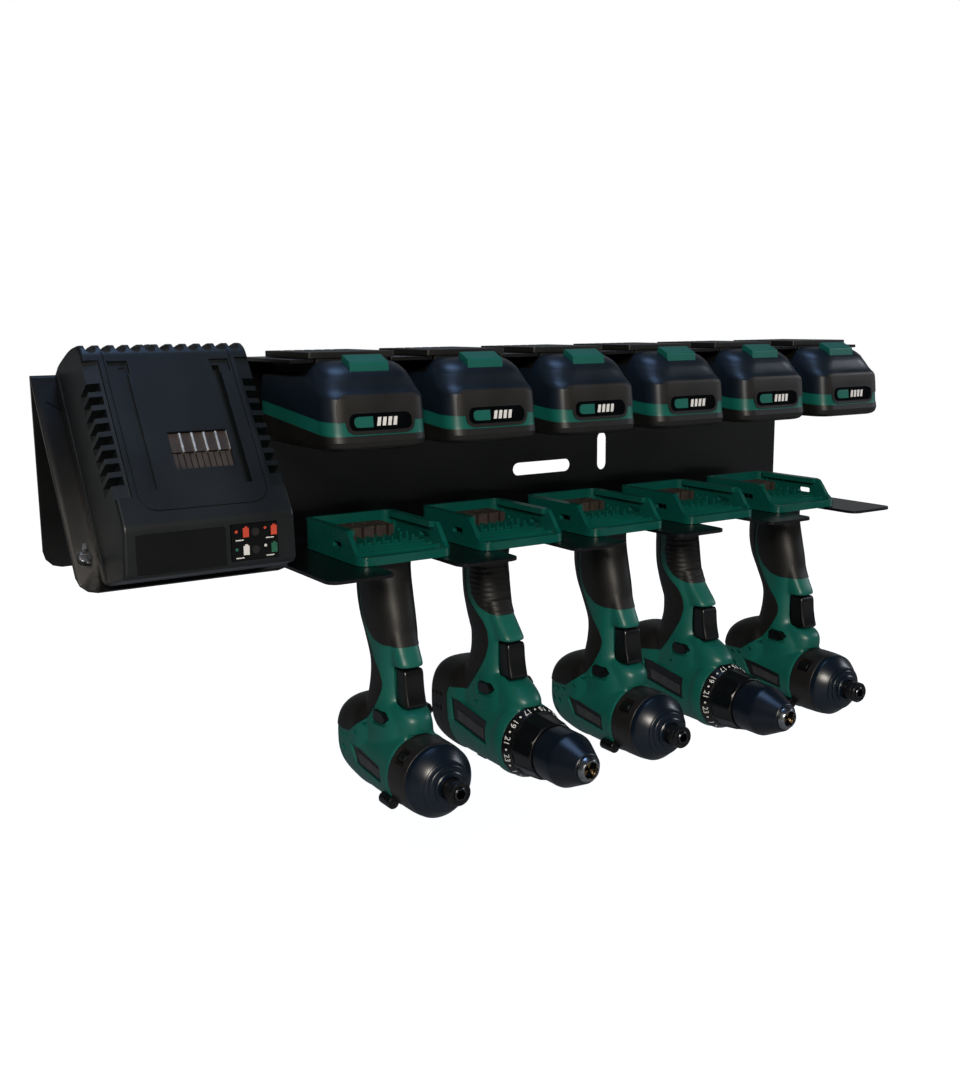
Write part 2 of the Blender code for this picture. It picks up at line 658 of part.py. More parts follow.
def cradle_cutters():
    """The sunk U where a pack lands, its two rail channels and the contact bay."""
    face = CHARGER_THICKNESS
    half = CRADLE_WIDTH / 2
    outline = rounded_outline(-half, -OVERRUN, half, CRADLE_END, [0, 0, CRADLE_CORNER, CRADLE_CORNER])
    outline = outline[ARC_STEPS:ARC_STEPS + 1] + outline[2 * ARC_STEPS + 1:]
    cutters = [prism("cradle", outline, charger_point, face - CRADLE_STEP, face + OVERRUN)]
    for side in (-1, 1):
        middle = side * RAIL_CHANNEL_SPREAD / 2
        across = (middle - RAIL_CHANNEL_WIDTH / 2, middle + RAIL_CHANNEL_WIDTH / 2)
        stand = (face - RAIL_CHANNEL_DEPTH, face + OVERRUN)
        cutters.append(charger_box("rail", across, RAIL_CHANNEL_SPAN, stand))
    across = (-CONTACT_BAY_WIDTH / 2, CONTACT_BAY_WIDTH / 2)
    cutters.append(charger_box("bay", across, CONTACT_BAY_SPAN, (bay_floor(), face + OVERRUN)))
    return cutters


def bay_floor():
    return CHARGER_THICKNESS - CRADLE_STEP - CONTACT_BAY_DEPTH


def chin_plate(name, grow, low, high, finish=None):
    """A rounded plate square to the chin's face, beside its middle."""
    top, bottom = charger_corners(5, 6)
    down = (bottom - top).normalized()
    out = Vector((-down.y, down.x))
    middle = (top + bottom) / 2

    def on_chin(a, b, run):
        place = middle + down * b + out * run
        return charger_point(a, place.x, place.y)

    width, height, depth = LAMP_PLATE
    a, b = width / 2 + grow, height / 2 + grow
    outline = rounded_outline(LAMP_PLATE_ASIDE - a, -b, LAMP_PLATE_ASIDE + a, b, [depth + grow] * 4)
    return prism(name, outline, on_chin, low, high, finish)


def make_contacts(finish):
    """A block at the bay's lower end, slit where the blades stand."""
    half = CONTACT_BAY_WIDTH / 2 - GAP
    low = bay_floor() + GAP
    end = CONTACT_BAY_SPAN[1] - GAP
    start = end - CONTACT_BLOCK_LENGTH
    top = low + CONTACT_BLOCK_HEIGHT
    block = charger_box("charger_contacts", (-half, half), (start, end), (low, top), finish)
    slits = []
    for k in range(CONTACT_COUNT):
        x = (k - (CONTACT_COUNT - 1) / 2) * half * 2 / CONTACT_COUNT
        across = (x - CONTACT_SLOT / 2, x + CONTACT_SLOT / 2)
        slits.append(charger_box("slit", across, (start - OVERRUN, end - CONTACT_SLOT_END),
                                 (low + CONTACT_SLOT_FLOOR, top + OVERRUN)))
    return tidy(cut(block, *slits))


def make_gland(finish):
    """A tapered cord gland whose wide end lies along the charger's sloping top end."""
    low, high = charger_corners(1, 2)
    middle = (low + high) / 2
    fall = (high.x - low.x) / (high.y - low.y)
    end = middle.x - GLAND_LENGTH
    wide = around(GLAND_RADIUS, SMALL_STEPS)
    rings = [[charger_point(x, middle.x + t * fall - GAP, middle.y + t) for x, t in wide]]
    bore_end = end + GLAND_LENGTH / 2
    for s, radius in ((end, GLAND_TIP_RADIUS), (end, GLAND_BORE_RADIUS), (bore_end, GLAND_BORE_RADIUS)):
        rings.append([charger_point(x, s, middle.y + t) for x, t in around(radius, SMALL_STEPS)])
    return tidy(loft("charger_gland", rings, finish))


def make_charger(finishes):
    tidy(charger_slice("charger_base", 0, CHARGER_BASE, finishes["charger_black"]))
    case = charger_slice("charger_case", CHARGER_BASE + GAP, CHARGER_THICKNESS, finishes["charger_black"])
    depth = LAMP_PLATE[2]
    recess = chin_plate("lamp_recess", GAP, -depth, OVERRUN)
    tidy(cut(case, recess, *rib_cutters(), *louvre_cutters(), *cradle_cutters()))
    tidy(chin_plate("charger_lamps", 0, GAP - depth, 0, finishes["lamp_window"]))
    make_contacts(finishes["contact_brown"])
    make_gland(finishes["gland_rubber"])
    for name, side in (("wing_nut_left", -1), ("wing_nut_right", 1)):
        make_wing_nut(name, side * (CHARGER_WIDTH / 2 + WING_BASE_RADIUS + OVERRUN), finishes["zinc"])


def make_wing_nut(name, x, finish):
    """A round base with two upright wings, seated on the leaning plate."""
    rings = []
    for up, share in WING_BASE_SHARES:
        rings.append([charger_point(x + a, WING_DOWN + b, up * WING_HEIGHT)
                      for a, b in around(WING_BASE_RADIUS * share, SMALL_STEPS)])
    nut = loft(name, rings, finish)
    half = WING_THICKNESS / 2
    outline = [(WING_DOWN + a * WING_SPAN, b * WING_HEIGHT) for a, b in WING_SHARES]
    return tidy(join(nut, prism("wings", outline, charger_across, x - half, x + half)))


# Battery packs, modelled with the slot's middle at x = 0 and heights from the shelf's top

def pack_stack(name, back, shares, finish=None):
    """Level sections of a pack, stacked from its base upwards and all starting at one back end."""
    rings = []
    for height_share, front_share, width_share in shares:
        half = PACK_WIDTH / 2 * width_share
        radii = [PACK_BACK_CORNER, PACK_BACK_CORNER, PACK_FRONT_CORNER, PACK_FRONT_CORNER]
        outline = rounded_outline(-half, back, half, PACK_BACK + PACK_LENGTH * front_share, radii)
        height = NOSE_TOP - PACK_HEIGHT * (1 - height_share)
        rings.append([level(x, depth, height) for x, depth in outline])
    return loft(name, rings, finish)


def make_pack_case(finish):
    case = pack_stack("pack_case", PACK_BACK, PACK_BODY_SHARES, finish)
    nose = pack_stack("nose", SHELF_REACH - PACK_BACK_CORNER * 2, PACK_NOSE_SHARES)
    under = -SHEET - GAP
    cut(nose, box("trim", (-PACK_WIDTH, PACK_WIDTH), (-OVERRUN, SHELF_REACH + GAP), (under, OVERRUN)))
    half = NECK_WIDTH / 2
    root = NOSE_TOP - PACK_HEIGHT * (1 - PACK_NOSE_SHARES[0][0])
    neck = box("neck", (-half, half), (PACK_BACK + OVERRUN, RAIL_FRONT), (root, GAP + RAIL_HEIGHT / 2))
    half = RAIL_WIDTH / 2
    outline = rounded_outline(-half, PACK_BACK + OVERRUN, half, RAIL_FRONT, [RAIL_CORNER] * 4)
    join(case, nose, neck, prism("rail", outline, level, GAP, GAP + RAIL_HEIGHT))
    half = LATCH_WIDTH / 2 + GAP
    floor = LATCH_PROUD - LATCH_HEIGHT - LATCH_TRAVEL - GAP
    along = (LATCH_FRONT - LATCH_LENGTH - GAP, LATCH_FRONT + LATCH_LENGTH)
    return tidy(cut(case, box("pocket", (-half, half), along, (floor, LATCH_PROUD + OVERRUN))))


def make_latch(finish):
    """A release button whose top slopes down to the front."""
    half = LATCH_WIDTH / 2
    back = LATCH_FRONT - LATCH_LENGTH
    low = LATCH_PROUD - LATCH_HEIGHT
    outline = [(back + a * LATCH_LENGTH, low + b * LATCH_HEIGHT) for a, b in LATCH_SLOPE_SHARES]
    latch = prism("latch", outline, sideways, -half, half, finish)
    return tidy(bevel(latch, LATCH_EDGE, 1))


# Tools, modelled with the slot's middle at x = 0 and heights from the tool fingers

def section(height, middle, half_depth, half_width):
    """A level section of a handle: a squared ellipse."""
    ring = []
    for c, s in around(1.0, RING_STEPS):
        x = half_width * math.copysign(abs(c) ** (2 / RING_POWER), c)
        d = half_depth * math.copysign(abs(s) ** (2 / RING_POWER), s)
        ring.append(level(x, middle + d, height))
    return ring


def make_handle(name, middle, shares, finish):
    rings = []
    for drop, shift, half_depth, half_width in shares:
        rings.append(section(-drop * AXIS_DROP, middle + shift * GRIP_DEPTH,
                             half_depth * GRIP_DEPTH, half_width * GRIP_WIDTH))
    return loft(name, rings, finish)


def make_foot():
    """The battery foot: an open tray with inward rails, whose side walls fall away in front."""
    half = FOOT_WIDTH / 2
    front = FOOT_BACK + FOOT_LENGTH
    outline = rounded_outline(-half, FOOT_BACK, half, front, [FOOT_CORNER] * 4)
    foot = prism("foot", outline, level, GAP, FOOT_HEIGHT)
    start = front - FOOT_SLOPE
    rise = FOOT_HEIGHT - FOOT_LIP
    over = FOOT_HEIGHT + OVERRUN
    relief = [(start + a * FOOT_SLOPE, FOOT_LIP + b * rise) for a, b in FOOT_SLOPE_SHARES]
    relief += [(front + OVERRUN, FOOT_LIP), (front + OVERRUN, over), (start, over)]
    spare = half + OVERRUN
    front_cut = prism("front_cut", relief, sideways, -spare, spare)
    inner = half - FOOT_WALL
    narrow = inner - FOOT_RAIL
    rail = FOOT_HEIGHT - FOOT_RAIL_HEIGHT
    bay = [(-inner, FOOT_FLOOR), (inner, FOOT_FLOOR), (inner, rail), (narrow, rail), (narrow, over),
           (-narrow, over), (-narrow, rail), (-inner, rail)]
    hollow = prism("bay", bay, upright, FOOT_BACK + FOOT_WALL, front - FOOT_WALL)
    window = obround(WINDOW_LENGTH, WINDOW_HEIGHT, (start - WINDOW_FRONT, (FOOT_FLOOR + rail) / 2))
    return cut(foot, front_cut, hollow, prism("window", window, sideways, -spare, spare))


def make_housing(handle, back, length, trigger_front, selector_depth):
    """Foot, handle and motor housing in one moulding, with its trigger well and selector slot."""
    barrel = turned("barrel", [(back + a * length, HOUSING_RADIUS * r) for a, r in HOUSING_SHARES])
    barrel.location = (0, 0, -AXIS_DROP)
    join(handle, barrel, make_foot())
    half = TRIGGER_WIDTH / 2 + GAP
    room = trigger_front - TRIGGER_THICKNESS - TRIGGER_TRAVEL - TRIGGER_WELL
    well = box("well", (-half, half), (room, trigger_front + TRIGGER_CLEAR),
               (-TRIGGER_TOP - TRIGGER_HEIGHT - GAP, -TRIGGER_TOP + GAP))
    long_half = SELECTOR_LENGTH / 2 + GAP
    high_half = SELECTOR_HEIGHT / 2 + GAP
    along = (selector_depth - long_half, selector_depth + long_half)
    slot = box("slot", (-SELECTOR_SPAN, SELECTOR_SPAN), along,
               (-SELECTOR_DROP - high_half, -SELECTOR_DROP + high_half))
    return cut(handle, well, slot)


def make_terminal(finish):
    """A slit block on the foot's floor, near its back wall."""
    back = FOOT_BACK + FOOT_WALL + TERMINAL_BACK
    front = back + TERMINAL_LENGTH
    low = FOOT_FLOOR + GAP
    top = low + TERMINAL_HEIGHT
    half = TERMINAL_WIDTH / 2
    block = box("terminal", (-half, half), (back, front), (low, top), finish)
    slits = []
    along = (back + TERMINAL_SLOT_END, front + OVERRUN)
    for k in range(TERMINAL_COUNT):
        x = (k - (TERMINAL_COUNT - 1) / 2) * TERMINAL_WIDTH / TERMINAL_COUNT
        across = (x - TERMINAL_SLOT / 2, x + TERMINAL_SLOT / 2)
        slits.append(box("slit", across, along, (low + TERMINAL_SLOT_FLOOR, top + OVERRUN)))
    return tidy(cut(block, *slits))


def make_trigger(front, finish):
    half = TRIGGER_WIDTH / 2
    trigger = box("trigger", (-half, half), (front - TRIGGER_THICKNESS, front),
                  (-TRIGGER_TOP - TRIGGER_HEIGHT, -TRIGGER_TOP), finish)
    return tidy(bevel(trigger, TRIGGER_EDGE))


def make_selector(depth, finish):
    half = SELECTOR_SPAN / 2 + SELECTOR_PROUD
    bar = box("selector", (-half, half), (depth - SELECTOR_LENGTH / 2, depth + SELECTOR_LENGTH / 2),
              (-SELECTOR_DROP - SELECTOR_HEIGHT / 2, -SELECTOR_DROP + SELECTOR_HEIGHT / 2), finish)
    return tidy(bevel(bar, SELECTOR_EDGE, 1))


def make_impact_parts(finishes):
    """Each sub-part of an impact driver with the height its origin sits at."""
    handle = make_handle("impact_housing", IMPACT_GRIP_PLACE, IMPACT_HANDLE_SHARES, finishes["green"])
    housing = tidy(make_housing(handle, IMPACT_BACK, IMPACT_HOUSING_LENGTH, IMPACT_TRIGGER_FRONT,
                                IMPACT_SELECTOR_DEPTH))
    start = IMPACT_BACK + IMPACT_HOUSING_LENGTH + GAP
    tip = start + NOSE_LENGTH
    bore = SLEEVE_RADIUS + GAP
    inner = ANVIL_RADIUS + GAP
    profile = [(start + a * NOSE_LENGTH, NOSE_RADIUS * r) for a, r in NOSE_SHARES]
    profile += [(tip, bore), (tip - SLEEVE_WELL, bore), (tip - SLEEVE_WELL, inner), (start, inner)]
    nose = tidy(tube("nose", profile, finishes["nose_dark"]))
    end = tip + ANVIL_PROUD
    profile = [(end - ANVIL_LENGTH, ANVIL_RADIUS), (end, ANVIL_RADIUS)]
    anvil = turned("anvil", profile, finishes["bright_steel"], SMALL_STEPS)
    corner = HEX_SOCKET / math.sqrt(3)
    anvil = tidy(cut(anvil, turned("hexagon", [(end - HEX_DEPTH, corner), (end + OVERRUN, corner)], steps=6)))
    sleeve_end = end - SLEEVE_SET
    sleeve_start = sleeve_end - SLEEVE_LENGTH
    profile = [(sleeve_start, SLEEVE_RADIUS), (sleeve_end - SLEEVE_CHAMFER, SLEEVE_RADIUS),
               (sleeve_end, SLEEVE_RADIUS - SLEEVE_CHAMFER), (sleeve_end, inner), (sleeve_start, inner)]
    sleeve = tidy(tube("sleeve", profile, finishes["trigger_black"], SMALL_STEPS))
    trigger = make_trigger(IMPACT_TRIGGER_FRONT, finishes["trigger_black"])
    selector = make_selector(IMPACT_SELECTOR_DEPTH, finishes["trigger_black"])
    return {"housing": (housing, 0), "nose_case": (nose, -AXIS_DROP), "anvil": (anvil, -AXIS_DROP),
            "collet_sleeve": (sleeve, -AXIS_DROP), "trigger": (trigger, 0), "selector": (selector, 0)}


def make_drill_parts(finishes):
    """Each sub-part of a drill driver with the height its origin sits at."""
    handle = make_handle("drill_housing", DRILL_GRIP_PLACE, DRILL_HANDLE_SHARES, finishes["green"])
    housing = make_housing(handle, DRILL_BACK, DRILL_HOUSING_LENGTH, DRILL_TRIGGER_FRONT,
                           DRILL_SELECTOR_DEPTH)
    start = DRILL_BACK + DRILL_HOUSING_LENGTH + GAP
    end = start + COLLAR_LENGTH
    profile = [(start + a * COLLAR_LENGTH, COLLAR_RADIUS * r) for a, r in COLLAR_SHARES]
    profile += [(end, COLLAR_BORE), (start, COLLAR_BORE)]
    collar = tidy(tube("collar", profile, finishes["trigger_black"], COLLAR_STEPS))
    chuck_start = end + GAP
    tip = chuck_start + CHUCK_LENGTH
    profile = [(start, SPINDLE_RADIUS), (chuck_start, SPINDLE_RADIUS)]
    profile += [(chuck_start + a * CHUCK_LENGTH, CHUCK_RADIUS * r) for a, r in CHUCK_SHARES]
    chuck = turned("chuck", profile, finishes["chuck_black"])
    hollow = [(tip - CHUCK_BORE_DEPTH, CHUCK_BORE), (tip + OVERRUN, CHUCK_BORE)]
    chuck = tidy(cut(chuck, turned("bore", hollow, steps=SMALL_STEPS)))
    rear = DRILL_BACK + SPEED_BACK
    low = -AXIS_DROP - HOUSING_RADIUS - SPEED_PROUD
    half = SPEED_WIDTH / 2
    front = rear + SPEED_LENGTH
    pocket = box("pocket", (-half - GAP, half + GAP), (rear - GAP, front + SPEED_TRAVEL + GAP),
                 (low - OVERRUN, low + SPEED_HEIGHT + GAP))
    housing = tidy(cut(housing, pocket))
    speed = box("speed", (-half, half), (rear, front), (low, low + SPEED_HEIGHT), finishes["trigger_black"])
    speed = tidy(bevel(speed, SPEED_EDGE, 1))
    trigger = make_trigger(DRILL_TRIGGER_FRONT, finishes["trigger_black"])
    selector = make_selector(DRILL_SELECTOR_DEPTH, finishes["trigger_black"])
    return {"housing": (housing, 0), "torque_collar": (collar, -AXIS_DROP), "chuck": (chuck, -AXIS_DROP),
            "speed_switch": (speed, 0), "trigger": (trigger, 0), "selector": (selector, 0)}


def main():
    clear_scene()
    finishes = make_materials()
    make_rack(finishes["powder_coat"])
    make_easel(finishes["powder_coat"])
    make_charger(finishes)

    screw = make_wall_screw(finishes["zinc"])
    place_copy("wall_screw_left", screw, None, (-SCREW_SPREAD / 2, 0, 0))
    place_copy("wall_screw_right", screw, None, (SCREW_SPREAD / 2, 0, 0))
    place_copy("easel_screw", screw, None, (EASEL_MID_X, 0, EASEL_SCREW_Z))

    case = make_pack_case(finishes["pack_black"])
    latch = make_latch(finishes["green"])
    for k in range(BATTERY_COUNT):
        x = (k - (BATTERY_COUNT - 1) / 2) * PACK_PITCH
        frame = frame_empty(f"battery_{k + 1}_frame", (x, 0, SHELF_Z))
        place_copy(f"battery_{k + 1}_case", case, frame, (0, 0, 0))
        place_copy(f"battery_{k + 1}_latch", latch, frame, (0, 0, 0))

    impact = make_impact_parts(finishes)
    drill = make_drill_parts(finishes)
    terminal = make_terminal(finishes["contact_brown"])
    for k in range(TOOL_COUNT):
        kind, parts = ("impact", impact) if k % 2 == 0 else ("drill", drill)
        x = (k - (TOOL_COUNT - 1) / 2) * TOOL_PITCH
        frame = frame_empty(f"{kind}_{k + 1}_frame", (x, 0, FINGER_Z))
        for part_name, (source, height) in parts.items():
            place_copy(f"{kind}_{k + 1}_{part_name}", source, frame, (0, 0, height))
        place_copy(f"{kind}_{k + 1}_terminal", terminal, frame, (0, 0, 0))

    used_up = [screw, case, latch, terminal] + [source for source, _ in [*impact.values(), *drill.values()]]
    for source in used_up:
        bpy.data.objects.remove(source, do_unlink=True)


main()
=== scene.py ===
import math

import bmesh
import bpy
import numpy as np
from mathutils import Matrix, Vector


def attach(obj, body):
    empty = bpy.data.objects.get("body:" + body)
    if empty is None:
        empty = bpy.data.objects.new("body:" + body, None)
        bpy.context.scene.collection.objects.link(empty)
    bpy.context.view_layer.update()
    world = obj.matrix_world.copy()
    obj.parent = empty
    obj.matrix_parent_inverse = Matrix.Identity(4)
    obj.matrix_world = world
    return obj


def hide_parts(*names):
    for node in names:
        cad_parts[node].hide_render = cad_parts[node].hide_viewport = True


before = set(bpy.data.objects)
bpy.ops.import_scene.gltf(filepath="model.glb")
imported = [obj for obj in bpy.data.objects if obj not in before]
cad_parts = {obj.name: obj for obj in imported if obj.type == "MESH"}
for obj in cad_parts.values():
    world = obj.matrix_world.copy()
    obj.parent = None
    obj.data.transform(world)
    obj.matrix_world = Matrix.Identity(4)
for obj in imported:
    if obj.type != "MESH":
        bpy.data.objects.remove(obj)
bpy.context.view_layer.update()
scene = bpy.context.scene
mm = 0.001

# Where things hang, in millimetres: x along the wall, depth off it, z up
station = {
    "fingerZ": -100, "toolPitch": 101.6, "axisZ": -152,  # the axis is below the finger
    "shelfZ": 43.5, "packPitch": 558.8 / 6,
    "easelX": -353.2, "foldZ": 34, "easelSpread": 92, "easelHeight": 134, "plateOff": 2.8,
}
axisZ = station["axisZ"]


# Small tools for nodes and colours

def hexColour(code):  # sRGB hex to linear RGBA
    parts = [int(code[i:i + 2], 16) / 255 for i in (1, 3, 5)]
    return tuple(p / 12.92 if p <= 0.04045 else ((p + 0.055) / 1.055) ** 2.4 for p in parts) + (1.0,)


def addNode(tree, kind, settings=None, values=None, links=None):
    node = tree.nodes.new("ShaderNode" + kind)
    for key, value in (settings or {}).items():
        setattr(node, key, value)
    for key, value in (values or {}).items():
        node.inputs[key].default_value = value
    for key, source in (links or {}).items():
        tree.links.new(source, node.inputs[key])
    return node


def newFinish(name):
    finish = bpy.data.materials.new(name)
    finish.use_nodes = True
    tree = finish.node_tree
    tree.nodes.clear()
    return finish, tree


def closeFinish(tree, shader):
    addNode(tree, "OutputMaterial", links={"Surface": shader.outputs[0]})


def ramp(tree, source, stops):
    node = addNode(tree, "ValToRGB", links={"Fac": source})
    while len(node.color_ramp.elements) < len(stops):
        node.color_ramp.elements.new(0.5)
    for element, (place, colour) in zip(node.color_ramp.elements, stops):
        element.position = place
        element.color = colour
    return node.outputs["Color"]


def remap(tree, source, start, end, low, high):
    span = {"From Min": start, "From Max": end, "To Min": low, "To Max": high}
    return addNode(tree, "MapRange", values=span, links={"Value": source}).outputs["Result"]


# One moulded, coated or machined skin: mottled colour, fine grain and a drift in its gloss
def mouldedFinish(name, dark, light, driftMm, grainMm, rough, roughDrift, relief, metal=0.0, ribMm=0,
                  ribDeep=0):
    finish, tree = newFinish(name)
    where = addNode(tree, "TexCoord").outputs["Object"]
    drift = addNode(tree, "TexNoise", values={"Scale": 1 / (driftMm * mm), "Detail": 3.0},
                    links={"Vector": where})
    grain = addNode(tree, "TexNoise", values={"Scale": 1 / (grainMm * mm), "Detail": 2.0},
                    links={"Vector": where})
    colour = ramp(tree, drift.outputs["Fac"], [(0.3, hexColour(dark)), (0.7, hexColour(light))])
    gloss = remap(tree, drift.outputs["Fac"], 0.3, 0.7, rough - roughDrift, rough + roughDrift)
    bump = addNode(tree, "Bump", values={"Strength": relief, "Distance": grainMm * mm * 0.3},
                   links={"Height": grain.outputs["Fac"]})
    if ribMm:  # level ribs, one above the other
        up = addNode(tree, "SeparateXYZ", links={0: where}).outputs["Z"]
        turns = addNode(tree, "Math", {"operation": "MULTIPLY"}, {1: math.tau / (ribMm * mm)}, {0: up})
        wave = addNode(tree, "Math", {"operation": "SINE"}, links={0: turns.outputs[0]})
        bump = addNode(tree, "Bump", values={"Strength": 1.0, "Distance": ribDeep * mm * 0.5},
                       links={"Height": wave.outputs[0], "Normal": bump.outputs["Normal"]})
    shader = addNode(tree, "BsdfPrincipled", values={"Metallic": metal, "IOR": 1.5},
                     links={"Base Color": colour, "Roughness": gloss, "Normal": bump.outputs["Normal"]})
    closeFinish(tree, shader)
    return finish


# What each surface of the real station is, and how it was made: its two colours, how far apart its patches
# and its grain stand in mm, roughness and its drift, relief, and for some metal, rib pitch and rib depth
looks = {
    # polyester powder coat on bent sheet steel: satin black, its highlights broken by faint orange peel
    "powderCoat": ("#030304", "#050607", 60, 1.4, 0.32, 0.04, 0.04),
    # moulded ABS housings, spark-etched: deep teal green with a soft sheen
    "greenAbs": ("#0b564c", "#0f6257", 45, 0.7, 0.4, 0.03, 0.06),
    # the tools' open feet, same plastic off a polished tool, with bright rim lines; the whole tray is
    # painted darker than greenAbs, painted shade for its dark inside
    "footAbsPaintedShade": ("#064a42", "#07554b", 45, 0.7, 0.24, 0.03, 0.03),
    # moulded thermoplastic rubber over the grips: matt charcoal, finely stippled
    "gripRubber": ("#0d0d0c", "#121110", 30, 0.9, 0.5, 0.05, 0.3),
    # the same rubber on the drills' grips, moulded with cross ribs every 4.1 mm
    "ribbedRubber": ("#0d0d0c", "#121110", 30, 0.9, 0.5, 0.05, 0.3, 0.0, 4.1, 0.3),
    # moulded glass-filled nylon, smooth tool: black with a broad highlight
    "blackNylon": ("#08090a", "#0c0d0f", 25, 0.6, 0.3, 0.05, 0.06),
    # moulded polycarbonate pack shell, upper half: satin near-black, with a painted sky-blue reflection
    # mixed into its colour
    "packShellPaintedSky": ("#0a131b", "#0f1a25", 40, 0.8, 0.38, 0.05, 0.12),
    # moulded pack tray, lower half: brown-black, a little rougher
    "packTray": ("#10100e", "#161513", 40, 0.8, 0.5, 0.05, 0.16),
    # the pack's raised front plate: the same plastic, spark-etched, its warm brown-grey a painted reflection
    # of the dark ground below
    "packFacePaintedGround": ("#181613", "#1f1c19", 40, 0.8, 0.46, 0.05, 0.14),
    # moulded nylon chuck sleeve, polished tool: blue-black with a clear sheen
    "chuckNylon": ("#080f18", "#0c1521", 25, 0.6, 0.33, 0.04, 0.04),
    # die-cast magnesium gear case, painted: smooth dark metal grey behind the seam
    "castCase": ("#1a1817", "#201e1d", 30, 0.8, 0.4, 0.05, 0.1),
    # the same casting's front, satin near-black paint with a painted sky-blue reflection in its colour: one
    # smooth sheen round the dome
    "castNosePaintedSky": ("#07111b", "#0b1928", 60, 0.7, 0.3, 0.02, 0.02),
    # moulded ABS charger shell, spark texture: blue-black with flat highlights
    "chargerShell": ("#0d1113", "#121719", 50, 1.0, 0.42, 0.04, 0.14),
    # moulded phenolic terminal blocks: warm brown, dull
    "brownPhenolic": ("#2d2622", "#3c332d", 12, 0.5, 0.55, 0.06, 0.12),
    # screen-printed polyester label, bare: dark and a little glossy
    "bareLabel": ("#020304", "#030406", 30, 1.2, 0.25, 0.03, 0.03),
    # pressed aluminium badge, left bare: dark grey with a soft shine
    "greyBadge": ("#2e2f31", "#3a3b3d", 8, 0.5, 0.4, 0.05, 0.1),
    # pad-printed ink: flat white
    "whiteInk": ("#d9d9d6", "#e6e6e3", 6, 0.4, 0.5, 0.03, 0.05),
    "redInk": ("#c2402c", "#d34c36", 6, 0.4, 0.5, 0.03, 0.05),
    "greenInk": ("#1b5a45", "#256b53", 6, 0.4, 0.5, 0.03, 0.05),
    # smoked acrylic window over the gauge and lamps: near black with a clear gloss
    "smokedWindow": ("#020304", "#050608", 20, 1.5, 0.12, 0.02, 0.02),
    # cord gland and feet: moulded rubber, matt
    "glandRubber": ("#111112", "#171718", 15, 0.6, 0.65, 0.05, 0.2),
    # turned and ground steel: the chuck tip, with sharp dark and light bands
    "brightSteel": ("#8c9196", "#a4a8ac", 5, 0.3, 0.22, 0.05, 0.08, 1.0),
    # ground steel darkened by oil and oxide: anvil end, with only its edges catching light
    "darkSteel": ("#45464a", "#5a5b5f", 5, 0.3, 0.26, 0.05, 0.06, 1.0),
    # tin-plated spring contacts: dull white metal that scatters the lamp
    "tinPlate": ("#c9cac8", "#dddedb", 5, 0.3, 0.55, 0.05, 0.1, 1.0),
    # nitride-coated chuck jaws: dull bronze-coloured steel
    "goldJaw": ("#75603f", "#98815c", 4, 0.3, 0.28, 0.05, 0.08, 1.0),
    # zinc-plated steel fasteners: dull silver
    "zincSteel": ("#8e9092", "#aaacae", 5, 0.4, 0.34, 0.07, 0.15, 1.0),
    # black-oxide hardened steel, collet sleeves and screws: near black with thin bright edges
    "blackOxide": ("#1c1d1f", "#2a2b2d", 6, 0.4, 0.3, 0.05, 0.08, 0.6),
}
finishes = {name: mouldedFinish(name, *look) for name, look in looks.items()}
print("finishes made:", len(finishes))


# Small tools for meshes

def spot(x, depth, z):  # millimetres to a place in metres
    return Vector((x, -depth, z)) * mm


def addPiece(name, data):
    piece = bpy.data.objects.new(name, data)
    scene.collection.objects.link(piece)
    return piece


def meshPiece(name, points, faces, finish=None):
    mesh = bpy.data.meshes.new(name)
    mesh.from_pydata([tuple(p) for p in points], [], faces)
    shape = bmesh.new()
    shape.from_mesh(mesh)
    bmesh.ops.recalc_face_normals(shape, faces=shape.faces)
    shape.to_mesh(mesh)
    shape.free()
    if finish:
        mesh.materials.append(finishes[finish])
    return addPiece(name, mesh)


def ringLoft(name, rings, finish=None, endless=False):
    count = len(rings[0])
    points = [p for ring in rings for p in ring]
    faces = []
    for level in range(len(rings) - (0 if endless else 1)):
        low, high = level * count, (level + 1) % len(rings) * count
        faces += [(low + i, low + (i + 1) % count, high + (i + 1) % count, high + i) for i in range(count)]
    if not endless:
        last = (len(rings) - 1) * count
        faces += [tuple(range(count)), tuple(range(last, last + count))]
    return meshPiece(name, points, faces, finish)


def fromSide(a, b, run):  # outline seen from the side: (depth, z), run across
    return spot(run, a, b)


def fromFront(a, b, run):  # outline seen from the front: (x, z), run off the wall
    return spot(a, run, b)


def fromAbove(a, b, run):  # outline seen from above: (x, depth), run up
    return spot(a, b, run)


def prism(name, outline, place, low, high, finish=None):
    return ringLoft(name, [[place(a, b, run) for a, b in outline] for run in (low, high)], finish)


def corners(a, b):  # a rectangle's four corners from its two spans
    return [(a[0], b[0]), (a[1], b[0]), (a[1], b[1]), (a[0], b[1])]


def block(name, x, depth, z, finish=None):
    return prism(name, corners(x, z), fromFront, *depth, finish)


def easeCorners(points, radius, steps=5):  # a polygon with its corners rounded
    radii = radius if isinstance(radius, (list, tuple)) else [radius] * len(points)
    out = []
    for i, corner in enumerate(points):
        here = Vector(corner)
        before, after = Vector(points[i - 1]) - here, Vector(points[(i + 1) % len(points)]) - here
        reach = min(radii[i], before.length * 0.49, after.length * 0.49)
        if reach <= 0:
            out.append(tuple(here))
            continue
        a, b = here + before.normalized() * reach, here + after.normalized() * reach
        for step in range(steps + 1):
            t = step / steps
            out.append(tuple(a * (1 - t) ** 2 + here * 2 * t * (1 - t) + b * t ** 2))
    return out


def roundRect(a, b, width, height, radius, steps=5):
    w, h = width / 2, height / 2
    return easeCorners(corners((a - w, a + w), (b - h, b + h)), radius, steps)


def polar(radius, angle, a=0.0, b=0.0):
    return a + radius * math.cos(angle), b + radius * math.sin(angle)


def circle(a, b, radius, steps=32):
    return [polar(radius, math.tau * i / steps, a, b) for i in range(steps)]


